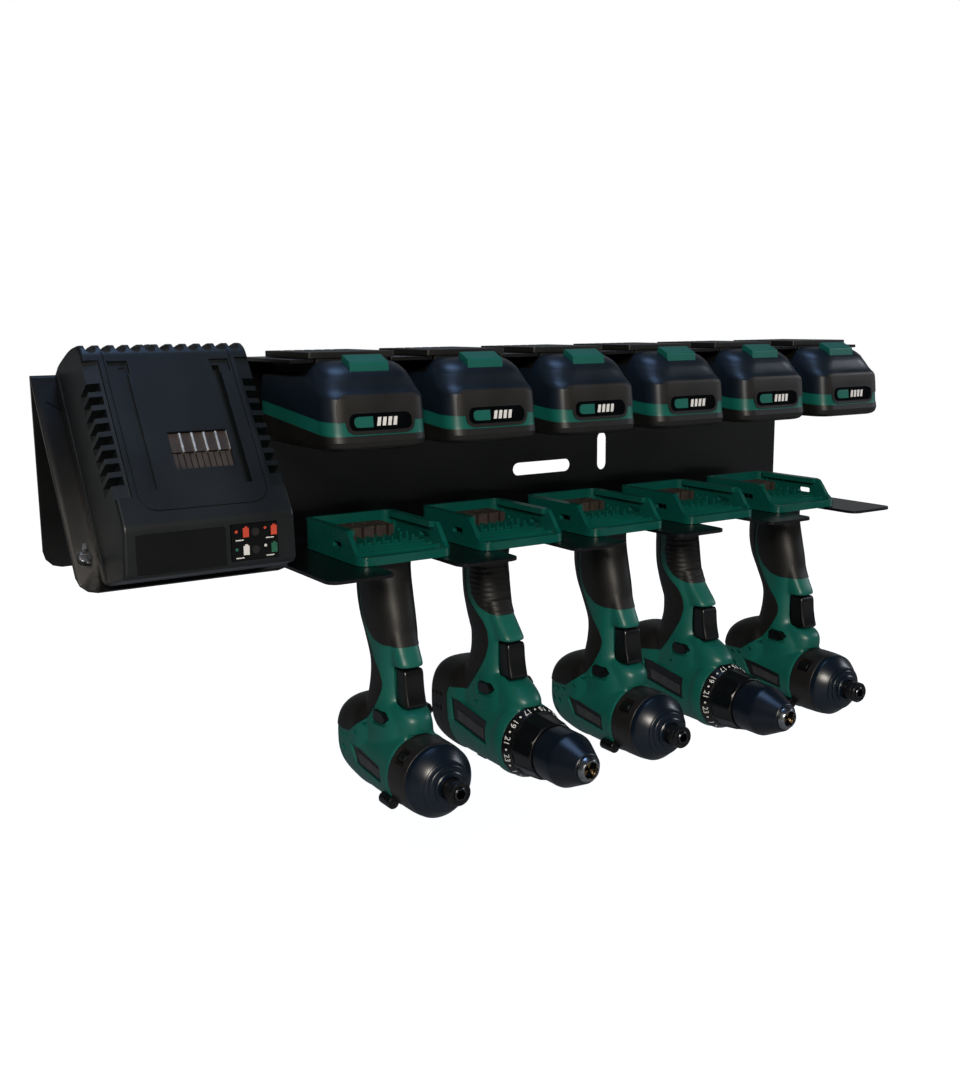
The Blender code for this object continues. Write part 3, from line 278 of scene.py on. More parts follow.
def smoothRows(rows, perGap):  # rows of numbers, eased through one another
    rows = np.array(rows, float)
    slopes = np.gradient(rows, axis=0)
    out = []
    for i in range(len(rows) - 1):
        for step in range(perGap):
            t = step / perGap
            out.append(rows[i] * (2 * t ** 3 - 3 * t * t + 1) + slopes[i] * (t ** 3 - 2 * t * t + t)
                       + rows[i + 1] * (3 * t * t - 2 * t ** 3) + slopes[i + 1] * (t ** 3 - t * t))
    return out + [rows[-1]]


def superRing(middle, halfAcross, halfDepth, power, count):  # a squared ellipse as (x, depth) pairs
    ring = []
    for i in range(count):
        c, s = math.cos(math.tau * i / count), math.sin(math.tau * i / count)
        ring.append((halfAcross * math.copysign(abs(c) ** (2 / power), c),
                     middle + halfDepth * math.copysign(abs(s) ** (2 / power), s)))
    return ring


# (depth, radius) pairs round the tool axis
def lathe(name, profile, finish=None, steps=64, bored=False, power=2.0):
    rings = []
    for depth, radius in profile:
        rings.append([spot(x, depth, z + axisZ) for x, z in superRing(0, radius, radius, power, steps)])
    return ringLoft(name, rings, finish, endless=bored)


def bake(piece):
    bpy.context.view_layer.update()
    mesh = bpy.data.meshes.new_from_object(piece.evaluated_get(bpy.context.evaluated_depsgraph_get()))
    old = piece.data
    piece.modifiers.clear()
    piece.data = mesh
    if not old.users:
        bpy.data.meshes.remove(old)
    return piece


def shapeWith(piece, cutters, operation):
    for cutter in cutters:
        step = piece.modifiers.new("shape", "BOOLEAN")
        step.operation = operation
        step.solver = "EXACT"
        step.object = cutter
    bake(piece)
    for cutter in cutters:
        bpy.data.objects.remove(cutter, do_unlink=True)
    return piece


def carve(piece, *cutters):
    return shapeWith(piece, cutters, "DIFFERENCE")


def fuse(piece, *others):
    return shapeWith(piece, others, "UNION")


def soften(piece, width, segments=3, angle=35):
    step = piece.modifiers.new("edge", "BEVEL")
    step.width = width * mm
    step.segments = segments
    step.limit_method = "ANGLE"
    step.angle_limit = math.radians(angle)
    return bake(piece)


def melt(piece, voxel, rounds, strength=0.6):  # fuses a skin's parts and eases the joins
    step = piece.modifiers.new("melt", "REMESH")
    step.mode = "VOXEL"
    step.voxel_size = voxel * mm
    step = piece.modifiers.new("ease", "SMOOTH")
    step.factor = strength
    step.iterations = rounds
    return bake(piece)


def copyPiece(piece, name, finish=None):
    twin = addPiece(name, piece.data.copy())
    if finish:
        twin.data.materials.clear()
        twin.data.materials.append(finishes[finish])
    return twin


def swell(piece, distance):  # moves the skin along its normals
    normals = [vertex.normal.copy() for vertex in piece.data.vertices]
    for vertex, normal in zip(piece.data.vertices, normals):
        vertex.co += normal * distance * mm
    return piece


def stamp(base, name, outline, place, low, high, lift, finish, edge=0.0):
    skin = swell(copyPiece(base, name, finish), lift)  # a thin pad that follows the skin under an outline
    shapeWith(skin, [prism("stamp", outline, place, low, high)], "INTERSECT")
    if edge:
        soften(skin, edge, 2)
    return skin


def shade(piece, angle=32):
    piece.data.shade_smooth()
    piece.data.set_sharp_from_angle(angle=math.radians(angle))
    step = piece.modifiers.new("even", "WEIGHTED_NORMAL")  # flat faces stay flat beside eased edges
    step.keep_sharp = True
    return bake(piece)


def cleanCopy(node, name, finish, edge=0.5, segments=2):  # a CAD node with eased edges
    piece = addPiece(name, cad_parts[node].data.copy())
    piece.data.materials.clear()
    piece.data.materials.append(finishes[finish])
    piece.data.shade_flat()
    shape = bmesh.new()
    shape.from_mesh(piece.data)
    bmesh.ops.remove_doubles(shape, verts=shape.verts, dist=0.00002)
    bmesh.ops.dissolve_limit(shape, angle_limit=math.radians(0.3), verts=shape.verts, edges=shape.edges)
    shape.to_mesh(piece.data)
    shape.free()
    if edge:
        soften(piece, edge, segments, 30)
    return shade(piece)


def settle(piece, body, slotName, *nodes):
    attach(piece, body)
    if nodes:
        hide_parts(*nodes)
    return piece


# Places on the leaning plate: s runs down the leaning plate from the fold, t stands off it

leanAngle = math.atan2(station["easelSpread"], station["easelHeight"])
leanAxis = Vector((0, -math.sin(leanAngle), -math.cos(leanAngle)))
offAxis = Vector((0, -math.cos(leanAngle), math.sin(leanAngle)))


def onCharger(x, s, t):
    fold = Vector((station["easelX"], 0, station["foldZ"]))
    return (fold + leanAxis * s + offAxis * (t + station["plateOff"]) + Vector((x, 0, 0))) * mm


def chargerSide(a, b, run):
    return onCharger(run, a, b)


def chargerBox(name, x, s, t, finish=None):
    return prism(name, corners(x, s), onCharger, *t, finish)


# Rack, easel and fasteners keep the CAD shapes with eased edges

for node, name, finish, slotName, edge in (
        ("rack_panel", "rackPanel", "powderCoat", "powder_coat", 0.5),
        ("charger_easel", "chargerEasel", "powderCoat", "powder_coat", 0.5),
        ("wall_screw_left", "wallScrewLeft", "zincSteel", "zinc", 0.3),
        ("wall_screw_right", "wallScrewRight", "zincSteel", "zinc", 0.3),
        ("easel_screw", "easelScrew", "zincSteel", "zinc", 0.3),
        ("wing_nut_left", "wingNutLeft", "zincSteel", "zinc", 0.4),
        ("wing_nut_right", "wingNutRight", "zincSteel", "zinc", 0.4)):
    piece = cleanCopy(node, name, finish, edge)
    if node == "charger_easel":  # a thin slit, cut aslant near the plate's left edge
        slit = Vector((16, 13)).normalized()
        reach, half = slit * 8, Vector((-slit.y, slit.x)) * 0.6
        middle = Vector((-60.5, 27.2))
        ends = [middle - reach - half, middle + reach - half, middle + reach + half, middle - reach + half]
        carve(piece, prism("slit", [(end.x, end.y) for end in ends], onCharger, -4, 1.5))
    settle(piece, "rack", slotName, node)
print("rack done")


# Tools: every kind is made once round x = 0 with its heights from the tool fingers

foot = {"width": 76, "back": 22, "length": 96, "height": 23, "floor": 5, "wall": 3.6, "lip": 6.5,
        "corner": 11, "rail": 3.6, "railHeight": 4.4, "slope": 24}


def makeFoot():  # an open tray with rails, ribs and a dropped front edge
    f = foot
    half, front = f["width"] / 2, f["back"] + f["length"]
    # the tray's finish is painted darker than the housing green: painted shade for the inside of the tray
    tray = prism("foot", roundRect(0, (f["back"] + front) / 2, f["width"], f["length"], f["corner"], 8),
                 fromAbove, 0.3, f["height"], "footAbsPaintedShade")
    start = front - f["slope"]
    relief = [(start, f["height"]), (start + 4, f["height"] - 1.2), (start + 8.5, f["height"] - 6.5),
              (start + 13.5, f["lip"] + 3.4), (start + 19, f["lip"]), (front + 5, f["lip"]),
              (front + 5, 40), (start, 40)]
    inner = half - f["wall"]
    well = prism("well", roundRect(0, (f["back"] + front) / 2, inner * 2, f["length"] - 2 * f["wall"],
                                   f["corner"] - 3, 8), fromAbove, f["floor"], 40)
    carve(tray, prism("relief", relief, fromSide, -60, 60), well)
    rails = []
    for side in (-1, 1):
        x = sorted((side * (inner + 1), side * (inner - f["rail"])))
        rails.append(block("rail", x, (f["back"] + 10, start + 1),
                           (f["height"] - f["railHeight"], f["height"])))
        window = corners((start - 20, start - 6), (9, 13.5))
        rails.append(block("rib", sorted((side * (inner + 1), side * (inner - 1.2))),
                           (f["back"] + 12, f["back"] + 13.4), (4, f["height"] - 4)))
        carve(tray, prism("window", easeCorners(window, 2), fromSide, *sorted((side * 30, side * 60))))
    for k in range(5):
        rails.append(block("rib", (-inner, inner), (58 + 11 * k, 59.2 + 11 * k), (4, 7.6)))
    for k in range(6):  # fins that guide the pack's contacts
        for side in (-1, 1):
            x = sorted((side * (23.6 + 1.1 * (k % 3)), side * (25.4 + 1.1 * (k % 3))))
            rails.append(block("fin", x, (36 + 7.4 * k, 40.6 + 7.4 * k), (4, 13.2 - 1.4 * (k % 2))))
    rails += [block("fin", (x, x + 1.3), (60, 74), (4, 11)) for x in (-12, -4.5, 3, 10.5, 17.5)]
    fuse(tray, *rails)
    return shade(soften(tray, 1.0, 3, 40))


impact = {  # grip rows: z, back, front, half width; hood rows the same; outlines are seen from the side
    "grip": [(3, 52, 103, 21), (0, 53.5, 102.5, 19.5), (-5, 56, 101.5, 17.8), (-15, 55.5, 103, 17.2),
             (-30, 54.8, 107, 16.9), (-45, 58, 111, 16.4), (-60, 66, 113, 15.8), (-76, 74.5, 111.5, 15.5),
             (-90, 75, 111, 16), (-104, 72, 113, 17.5), (-112, 68, 123, 19.5), (-120, 63, 128, 21.5),
             (-130, 58, 129, 22.5), (-142, 54, 129, 23.5), (-152, 52, 129, 24)],
    "hood": [(-48, 88, 110.5, 11), (-58, 90, 114, 11), (-66, 94, 118, 10.8), (-72, 98, 121.5, 10.6),
             (-76, 100, 123, 10.6), (-77.4, 100, 122.2, 10.3)],
    "barrel": [(42, 10), (44, 16), (50, 21), (60, 24.2), (74, 26.2), (90, 27.3), (104, 27.5), (129, 27.5)],
    "rear": [(42, -125, -160, 19), (43.4, -119.5, -165, 23), (47, -115.5, -170, 25.6),
             (54, -111.5, -174, 27), (66, -108, -177, 27.4), (80, -107, -178.5, 27.5),
             (90, -110, -178, 24)],
    "boss": [(-105, 86, 116, 13), (-107.6, 86, 124, 13.8), (-110, 86, 129.5, 14.4), (-114, 86, 132.6, 15),
             (-119, 86, 133, 15.6), (-123.2, 86, 132.4, 16), (-132, 90, 129.5, 17)],
    "frontEnd": 129, "trigger": 127, "selector": 104,
    "frontPad": [(80, 2), (77, -12), (74, -30), (76, -44), (82, -53), (92, -59.5), (102, -62), (116, -62.5),
                 (135, -62.5), (135, 2)],
    "rearPad": [(20, 2), (76.5, 2), (72.5, -13), (70, -30), (72, -45), (77.5, -57), (84, -67), (91, -75.5),
                (98, -82.5), (101.5, -90), (101, -97), (97.5, -105), (93, -114), (87, -121), (79, -127),
                (69, -134), (56, -135), (20, -134)],
    "recess": [(70, -142), (117, -147.5), (118.5, -160.5), (80, -157)],
    "badge": [(81, -147), (113.5, -151), (114.3, -157.6), (85, -154.6)],
    "vents": [(49, -140, 5), (57, -139.5, 4.4), (65.5, -138.5, 4), (51, -150, 6), (60, -149.5, 6),
              (79, -132.5, 4), (54, -160, 6)],
    "mark": [(84, -124.5), (89.5, -122.6), (89.5, -126.4)],
}
drill = {
    "grip": [(3, 34, 86, 21), (0, 36, 84, 19.5), (-5, 41, 81, 18), (-18, 43, 78, 17), (-30, 42.5, 80, 16.8),
             (-45, 43, 83, 16.4), (-60, 47, 87, 15.8), (-70, 51, 92, 15.6), (-76, 53, 95, 15.5),
             (-90, 53, 94, 16), (-104, 48, 96, 17.5), (-112, 41, 108, 20), (-120, 33, 112, 21.5),
             (-130, 25, 116, 22.5), (-142, 19, 118, 23.5), (-152, 17, 118, 24)],
    "hood": [(-48, 64, 85, 11), (-58, 66, 90, 11), (-66, 72, 97, 10.8), (-72, 78, 102.5, 10.6),
             (-76, 82, 105, 10.6), (-77.4, 82, 104.2, 10.3)],
    "barrel": [(13, 12), (14.5, 17), (17, 20.8), (22, 24), (30, 26), (42, 26.8), (60, 27.2), (90, 27.5),
               (110, 27.6), (113, 28.6), (117.5, 28.7), (124, 27.4)],
    "rear": [(13, -119, -164, 19), (14.4, -112.5, -169, 23.4), (18, -108, -173, 26),
             (25, -105.5, -176, 27.2), (36, -104.5, -178, 27.6), (50, -104.5, -178.5, 27.4),
             (62, -108, -178, 24)],
    "boss": [(-105, 70, 104, 13), (-107.6, 70, 110, 13.6), (-110, 70, 116, 14.2), (-114, 70, 122, 15),
             (-118, 72, 126, 15.6), (-122.6, 74, 127.4, 16), (-132, 78, 124, 17)],
    "frontEnd": 124, "trigger": 109, "selector": 88,
    "frontPad": [(70, 2), (65.5, -16), (64, -32), (66, -44), (73, -52), (82, -57), (92, -58.5),
                 (112, -58.5), (112, 2)],
    "rearPad": [(0, 2), (64, 2), (58.5, -14), (57, -23), (56.5, -37), (61, -49), (68, -55.5), (78, -63),
                (84.5, -72), (86, -80), (83, -92), (77, -103), (72, -113), (66, -121), (46, -123.5),
                (43.5, -129), (45.5, -152), (52, -190), (0, -190)],
    "recess": [(48, -131), (51.5, -150), (102, -157), (99, -138.5)],
    "badge": [(57.5, -139.5), (59.5, -148), (96.5, -153.4), (95.5, -145.4)],
    "vents": [(21, -134, 5), (28, -133, 5), (35, -132.4, 5), (21, -145, 6), (28, -144.4, 6), (35, -144, 6)],
    "mark": [(76, -128), (81.5, -126), (81.5, -130)],
}


# level sections: height, back, front, half width
def levelStack(name, rows, power, finish=None, perGap=4, count=40):
    rings = []
    for z, back, front, halfWidth in smoothRows(rows, perGap):
        outline = superRing((back + front) / 2, halfWidth, (front - back) / 2, power, count)
        rings.append([spot(x, depth, z) for x, depth in outline])
    return ringLoft(name, rings, finish)


def uprightStack(name, rows, power):  # sections across the tool: depth, top, bottom, half width
    rings = []
    for depth, top, bottom, halfWidth in smoothRows(rows, 4):
        outline = superRing((top + bottom) / 2, halfWidth, (top - bottom) / 2, power, 48)
        rings.append([spot(x, depth, z) for x, z in outline])
    return ringLoft(name, rings)


controls = {"wellTop": -77.6, "wellEnd": -107.4, "wellDeep": 24, "wellHalf": 8.9, "selectorZ": -115,
            "selectorHalf": 3.9, "selectorReach": 20.8}


def makeSkin(tool):
    skin = levelStack("grip", tool["grip"], 2.4, "greenAbs", 5, 64)
    fuse(skin, lathe("barrel", tool["barrel"], power=2.2))
    fuse(skin, uprightStack("rear", tool["rear"], 2.8))
    fuse(skin, levelStack("hood", tool["hood"], 3.2), levelStack("boss", tool["boss"], 2.5))
    melt(skin, 1.25, 5)
    front, end = tool["trigger"], tool["frontEnd"]
    top, bottom, deep = controls["wellTop"], controls["wellEnd"], front - controls["wellDeep"]
    well = easeCorners(corners((deep, front + 12), (top, bottom)), 2)
    trim = block("trim", (-60, 60), (end, end + 30), (-200, -123.4))
    across = controls["wellHalf"]
    cutters = [prism("well", well, fromSide, -across, across), trim,
               prism("slot", selectorOutline(tool, 0.4), fromSide, -60, 60)]
    cuts = [(easeCorners(tool["recess"], 2), 25.4), (selectorOutline(tool, 2.4), 18.6), (tool["mark"], 20.5)]
    for depth, z, height in tool["vents"]:
        vent = [(depth - 3, z), (depth - 1, z + height / 2), (depth + 3, z), (depth + 1, z - height / 2)]
        cuts.append((easeCorners(vent, 0.7, 2), 22))
    for side in (-1, 1):
        for outline, inner in cuts:
            cutters.append(prism("cut", outline, fromSide, *sorted((side * inner, side * 60))))
    carve(skin, *cutters)
    return skin


def makeTool(tool, kind):
    skin = makeSkin(tool)
    pieces = []
    frontFinish = "ribbedRubber" if kind == "drill" else "gripRubber"
    for name, outline, finish in (("gripFront", tool["frontPad"], frontFinish),
                                  ("gripRear", tool["rearPad"], "gripRubber")):
        pad = stamp(skin, name, easeCorners(outline, 2), fromSide, -60, 60, 0.55, finish)
        pieces.append((name, shade(pad), "", "green_abs"))
    for side, word in ((-1, "Left"), (1, "Right")):
        plate = prism("plate", easeCorners(tool["recess"], 2), fromSide, side * 25.0, side * 25.7,
                      "blackNylon")
        pieces.append(("sidePlate" + word, shade(plate), "", "green_abs"))
        badge = prism("badge", easeCorners(tool["badge"], 1), fromSide, side * 25.2, side * 26.3,
                      "greyBadge")
        pieces.append(("badge" + word, shade(soften(badge, 0.3, 2)), "", "green_abs"))
    return [("skin", shade(skin), "", "green_abs")] + pieces


def makeTrigger(front):  # finger-shaped blade that leans out to its lower end
    face = [(-6.4, -78.3), (-4.8, -79.6), (-4.2, -82.5), (-3.9, -86), (-3.6, -89.5), (-3.1, -93),
            (-2.4, -96.5), (-1.5, -100), (-0.6, -103), (-0.3, -105), (-1.6, -106.5)]
    outline = [(front - 17, -78.3)] + [(front + a, b) for a, b in face] + [(front - 17, -106.6)]
    trigger = prism("trigger", outline, fromSide, -8.4, 8.4, "blackNylon")
    return shade(soften(trigger, 2.6, 6, 50), 50)


def selectorOutline(tool, grow):  # an oblong with a blunt point towards the front
    back, tip = tool["selector"] - 7.4 - grow, tool["selector"] + 10.4 + grow
    z, half = controls["selectorZ"], controls["selectorHalf"] + grow
    return easeCorners([(back, z - half), (tip - 5, z - half), (tip, z), (tip - 5, z + half),
                        (back, z + half)], 1.2, 3)


def makeSelector(tool):
    bar = prism("selector", selectorOutline(tool, 0), fromSide, -controls["selectorReach"],
                controls["selectorReach"], "blackNylon")
    return shade(soften(bar, 0.7, 3))


def makeTerminal():
    body = block("terminal", (-21, 21), (34, 58), (5.2, 17.2), "brownPhenolic")
    slits = [block("slit", (x - 1.1, x + 1.1), (40, 62), (8, 30)) for x in (-15.75, -5.25, 5.25, 15.75)]
    return shade(soften(carve(body, *slits), 0.3, 2))


def makeNose():
    rear = [(129.4, 27.2), (130, 27.6), (136, 27.8), (147, 27.6), (152, 27.2), (152.6, 26.8), (152.6, 12),
            (129.4, 12)]
    front = [(152.9, 26.4), (153.5, 26.9), (156.2, 26.6), (157.2, 26.0), (160, 23.9), (163, 21.0),
             (164.9, 18.9), (165.3, 18.2), (166, 18.9), (166.8, 18.9), (167.5, 18.1), (168.1, 16.2),
             (168.3, 15.4), (168.9, 16), (169.4, 15.6), (169.9, 14.2), (170, 12.8), (170.2, 12.2),
             (171.6, 12.2), (172.3, 11.4), (172.3, 8.6), (171.4, 8), (158, 8), (158, 12), (152.9, 12)]
    ring = lathe("noseRing", rear, "castCase", 72, True)
    vents, screws, bosses = [], [], []
    for side in (-1, 1):  # a screw in a pocket at the upper left and right of the ring
        out, deep = [polar(reach, math.pi / 2 + side * 0.86, 0, axisZ) for reach in (28.6, 22.4)]
        vents.append(prism("vent", circle(*out, 6.4, 24), fromFront, 132.5, 146))
        bosses.append(prism("boss", circle(*deep, 4.4, 24), fromFront, 130, 143, "blackNylon"))
    carve(ring, *vents)
    for side in (-1, 1):  # screw bosses at the lower left and right
        a, b = side * 23.5, axisZ - 19.5
        bosses.append(prism("boss", circle(a, b, 4.6, 24), fromFront, 116, 131, "blackNylon"))
        screws.append(prism("screw", circle(a, b, 2.6, 20), fromFront, 129, 131.6, "blackOxide"))
    boss, screw = soften(fuse(*bosses), 0.6, 3), soften(fuse(*screws), 0.4, 2)
    soften(ring, 0.3, 2, 40)
    # the nose case's finish carries a painted sky-blue reflection in its colour
    return [("noseRing", shade(ring), "", "nose_dark"), ("screwBosses", shade(boss), "", "nose_dark"),
            ("bossScrews", shade(screw), "", "nose_dark"),
            ("noseCase", shade(lathe("noseCase", front, "castNosePaintedSky", 72, True)), "", "nose_dark")]


def makeCollet():
    profile = [(169.2, 7.6), (175.4, 7.6), (176.4, 8.6), (180.6, 8.7), (181.2, 8.3), (181.8, 8.7),
               (183.6, 8.7), (184.7, 7.9), (184.7, 6.9), (184.1, 6.5), (184.1, 5.3), (169.2, 5.3)]
    sleeve = shade(lathe("sleeve", profile, "blackOxide", 48, True))
    anvil = lathe("anvil", [(151.4, 4.9), (184.6, 4.9), (185.2, 4.3)], "darkSteel", 48)
    carve(anvil, prism("hexagon", circle(0, axisZ, 6.5 / math.sqrt(3), 6), fromFront, 171.3, 190))
    return sleeve, shade(anvil)


def makeCollar():  # a smooth numbered band, then a grip with sloping facets
    profile = [(124.4, 27.9), (124.8, 28.4), (125.6, 28.4), (126.2, 28), (131.8, 25.8), (132.6, 25.2),
               (150.6, 23.3), (153, 22.8), (154.2, 21.6), (154.2, 12), (124.4, 12)]
    collar = lathe("collar", profile, "blackNylon", 96, True)
    flats = []
    for k in range(12):
        out = Vector(polar(1, math.tau * (k + 0.5) / 12))
        along = Vector((-out.y, out.x))
        rings = []
        for depth, floor in ((134, 24.2), (158, 21.4)):
            corners = [out * floor - along * 5, out * floor + along * 5, out * 40 + along * 8,
                       out * 40 - along * 8]
            rings.append([spot(corner.x, depth, axisZ + corner.y) for corner in corners])
        flats.append(ringLoft("flat", rings))
    carve(collar, *flats)
    return shade(soften(collar, 0.3, 2, 30))


def makeNumerals():  # odd numbers and dots round the collar's rear band
    count = 24
    marks = []
    for k in range(count):
        words = str(k + 1) if k % 2 == 0 else "•"
        curve = bpy.data.curves.new("numeral", "FONT")
        curve.body = words
        curve.size = 7 * mm
        curve.align_x = "CENTER"
        curve.align_y = "CENTER"
        curve.extrude = 0.1 * mm
        mark = addPiece("numeral", curve)
        bpy.context.view_layer.update()
        mesh = bpy.data.meshes.new_from_object(mark.evaluated_get(bpy.context.evaluated_depsgraph_get()))
        bpy.data.objects.remove(mark, do_unlink=True)
        turn = math.radians(105) + math.tau * (k - 16) / count  # 17 stands near the top, 23 at the left
        for vertex in mesh.vertices:
            across, up, out = vertex.co
            angle = turn + across / (27 * mm)
            depth = 129 * mm + up * 0.93
            reach = (28.1 - 0.393 * (depth / mm - 126.2)) * mm + out
            vertex.co = (reach * math.cos(angle), -depth, reach * math.sin(angle) + axisZ * mm)
        marks.append(mesh)
    whole = bmesh.new()
    for mesh in marks:
        whole.from_mesh(mesh)
        bpy.data.meshes.remove(mesh)
    mesh = bpy.data.meshes.new("numerals")
    whole.to_mesh(mesh)
    whole.free()
    mesh.materials.append(finishes["whiteInk"])
    return addPiece("numerals", mesh)


def makeChuck():
    sleeve = [(154.7, 19.8), (155.4, 20.7), (157, 21), (173, 21), (175.4, 20.7), (177.6, 19.8),
              (194.6, 11.8), (195.3, 10.8), (195.3, 5.5), (154.7, 5.5)]
    body = lathe("chuckSleeve", sleeve, "chuckNylon", 96, True)
    tip = [(195.1, 9.6), (195.9, 9.8), (196.6, 9.6), (198.8, 8.2), (199.5, 7.5), (199.6, 6.4), (197.4, 5.6),
           (183, 5.6), (183, 9.4), (195.1, 9.4)]
    nose = lathe("chuckNose", tip, "brightSteel", 64, True)
    jaws = []
    for k in range(3):
        turn = math.pi / 2 + math.tau * k / 3
        ends = [polar(reach, turn + lean, 0, axisZ) for reach, lean in ((0.7, 0), (5.3, -0.42), (5.3, 0.42))]
        jaws.append(prism("jaw", easeCorners(ends, 0.3, 2), fromFront, 181, 196.6, "goldJaw"))
    jaw = fuse(jaws[0], *jaws[1:])
    return [("chuckSleeve", shade(body), "chuck", "chuck_black"),
            ("chuckNose", shade(nose), "chuck", "chuck_black"),
            ("chuckJaws", shade(jaw), "chuck", "chuck_black")]


# one copy of every part in each numbered place
def hangCopies(kind, numbers, middle, pitch, height, parts):
    for name, source, bodyEnd, slotName, *nodes in parts:
        for k in numbers:
            piece = addPiece(f"{kind}_{k}_{name}", source.data)
            piece.location = spot((k - middle) * station[pitch], 0, station[height])
            body = f"{kind}_{k}_{bodyEnd}" if bodyEnd else f"{kind}_{k}"
            settle(piece, body, slotName, *[f"{kind}_{k}_{node}" for node in nodes])
        bpy.data.objects.remove(source, do_unlink=True)


footTray = makeFoot()
footCopy = copyPiece(footTray, "footCopy")
terminal = makeTerminal()
terminalCopy = copyPiece(terminal, "terminalCopy")

parts = makeTool(impact, "impact")
parts[0] = (*parts[0], "housing")
parts += [("foot", footTray, "", "green_abs"), ("terminalBlock", terminal, "", "contact_brown", "terminal")]
nose = makeNose()
nose[1] = (*nose[1], "nose_case")
sleeve, anvil = makeCollet()
parts += nose + [("triggerBlade", makeTrigger(impact["trigger"]), "trigger", "trigger_black", "trigger"),
                 ("selectorBar", makeSelector(impact), "selector", "trigger_black", "selector"),
                 ("colletRing", sleeve, "collet_sleeve", "bright_steel", "collet_sleeve"),
                 ("anvilSocket", anvil, "anvil", "bright_steel", "anvil")]
hangCopies("impact", (1, 3, 5), 3, "toolPitch", "fingerZ", parts)
print("impact drivers done")

parts = makeTool(drill, "drill")
parts[0] = (*parts[0], "housing")
parts += [("foot", footCopy, "", "green_abs"), ("terminalBlock", terminalCopy, "", "contact_brown",
                                                "terminal")]
chuck = makeChuck()
chuck[0] = (*chuck[0], "chuck")
speed = block("speed", (-7.5, 7.5), (57, 70), (-182.5, -176.5), "blackNylon")
parts += chuck + [("triggerBlade", makeTrigger(drill["trigger"]), "trigger", "trigger_black", "trigger"),
                  ("selectorBar", makeSelector(drill), "selector", "trigger_black", "selector"),
                  ("collar", makeCollar(), "torque_collar", "trigger_black", "torque_collar"),
                  ("collarNumbers", makeNumerals(), "torque_collar", "trigger_black"),
                  ("speedSlide", shade(soften(speed, 0.8, 2)), "speed_switch", "trigger_black",
                   "speed_switch")]
hangCopies("drill", (2, 4), 3, "toolPitch", "fingerZ", parts)
print("drill drivers done")


# Battery packs, made round the slot's middle with heights from the shelf's top

pack = {
    "body": [  # height, front, half width
        (-60, 133.4, 34.4), (-59.2, 135.8, 35.8), (-57.4, 137.6, 37), (-54, 138.4, 37.8), (-47.6, 137, 38),
        (-32, 135.4, 38),
        (-25.4, 134.8, 38), (-23.4, 133.8, 37.9), (-21.4, 131.6, 37.8), (-19, 129.6, 37.6),
        (-15.4, 127.8, 37),
        (-12.6, 126.6, 36.2), (-11.9, 126, 35.8)],
    "nose": [(-15, 127.6, 36.9), (-12, 126.2, 36), (-9, 124.2, 34.8), (-6.8, 121.4, 33.2),
             (-4.8, 118.4, 31.4), (-3, 114.8, 29), (-1.7, 110.8, 26.4), (-1, 107.4, 23.6),
             (-0.8, 105.2, 21.4)],
    "band": [(0, -28.2), (120, -39.7), (132, -40.4), (160, -40.6)], "bandHeight": 9.4,
    "window": (0, -40.8, 52, 16),
}


def packStack(name, back, rows, finish=None):
    rings = []
    for height, front, half in rows:
        turn = 14 + 12 * max(0.0, min(1.0, (height + 26) / 20))  # the corners open out towards the top
        outline = easeCorners(corners((-half, half), (back, front)), [6, 6, turn, turn], 10)
        rings.append([spot(x, depth, height) for x, depth in outline])
    return ringLoft(name, rings, finish)


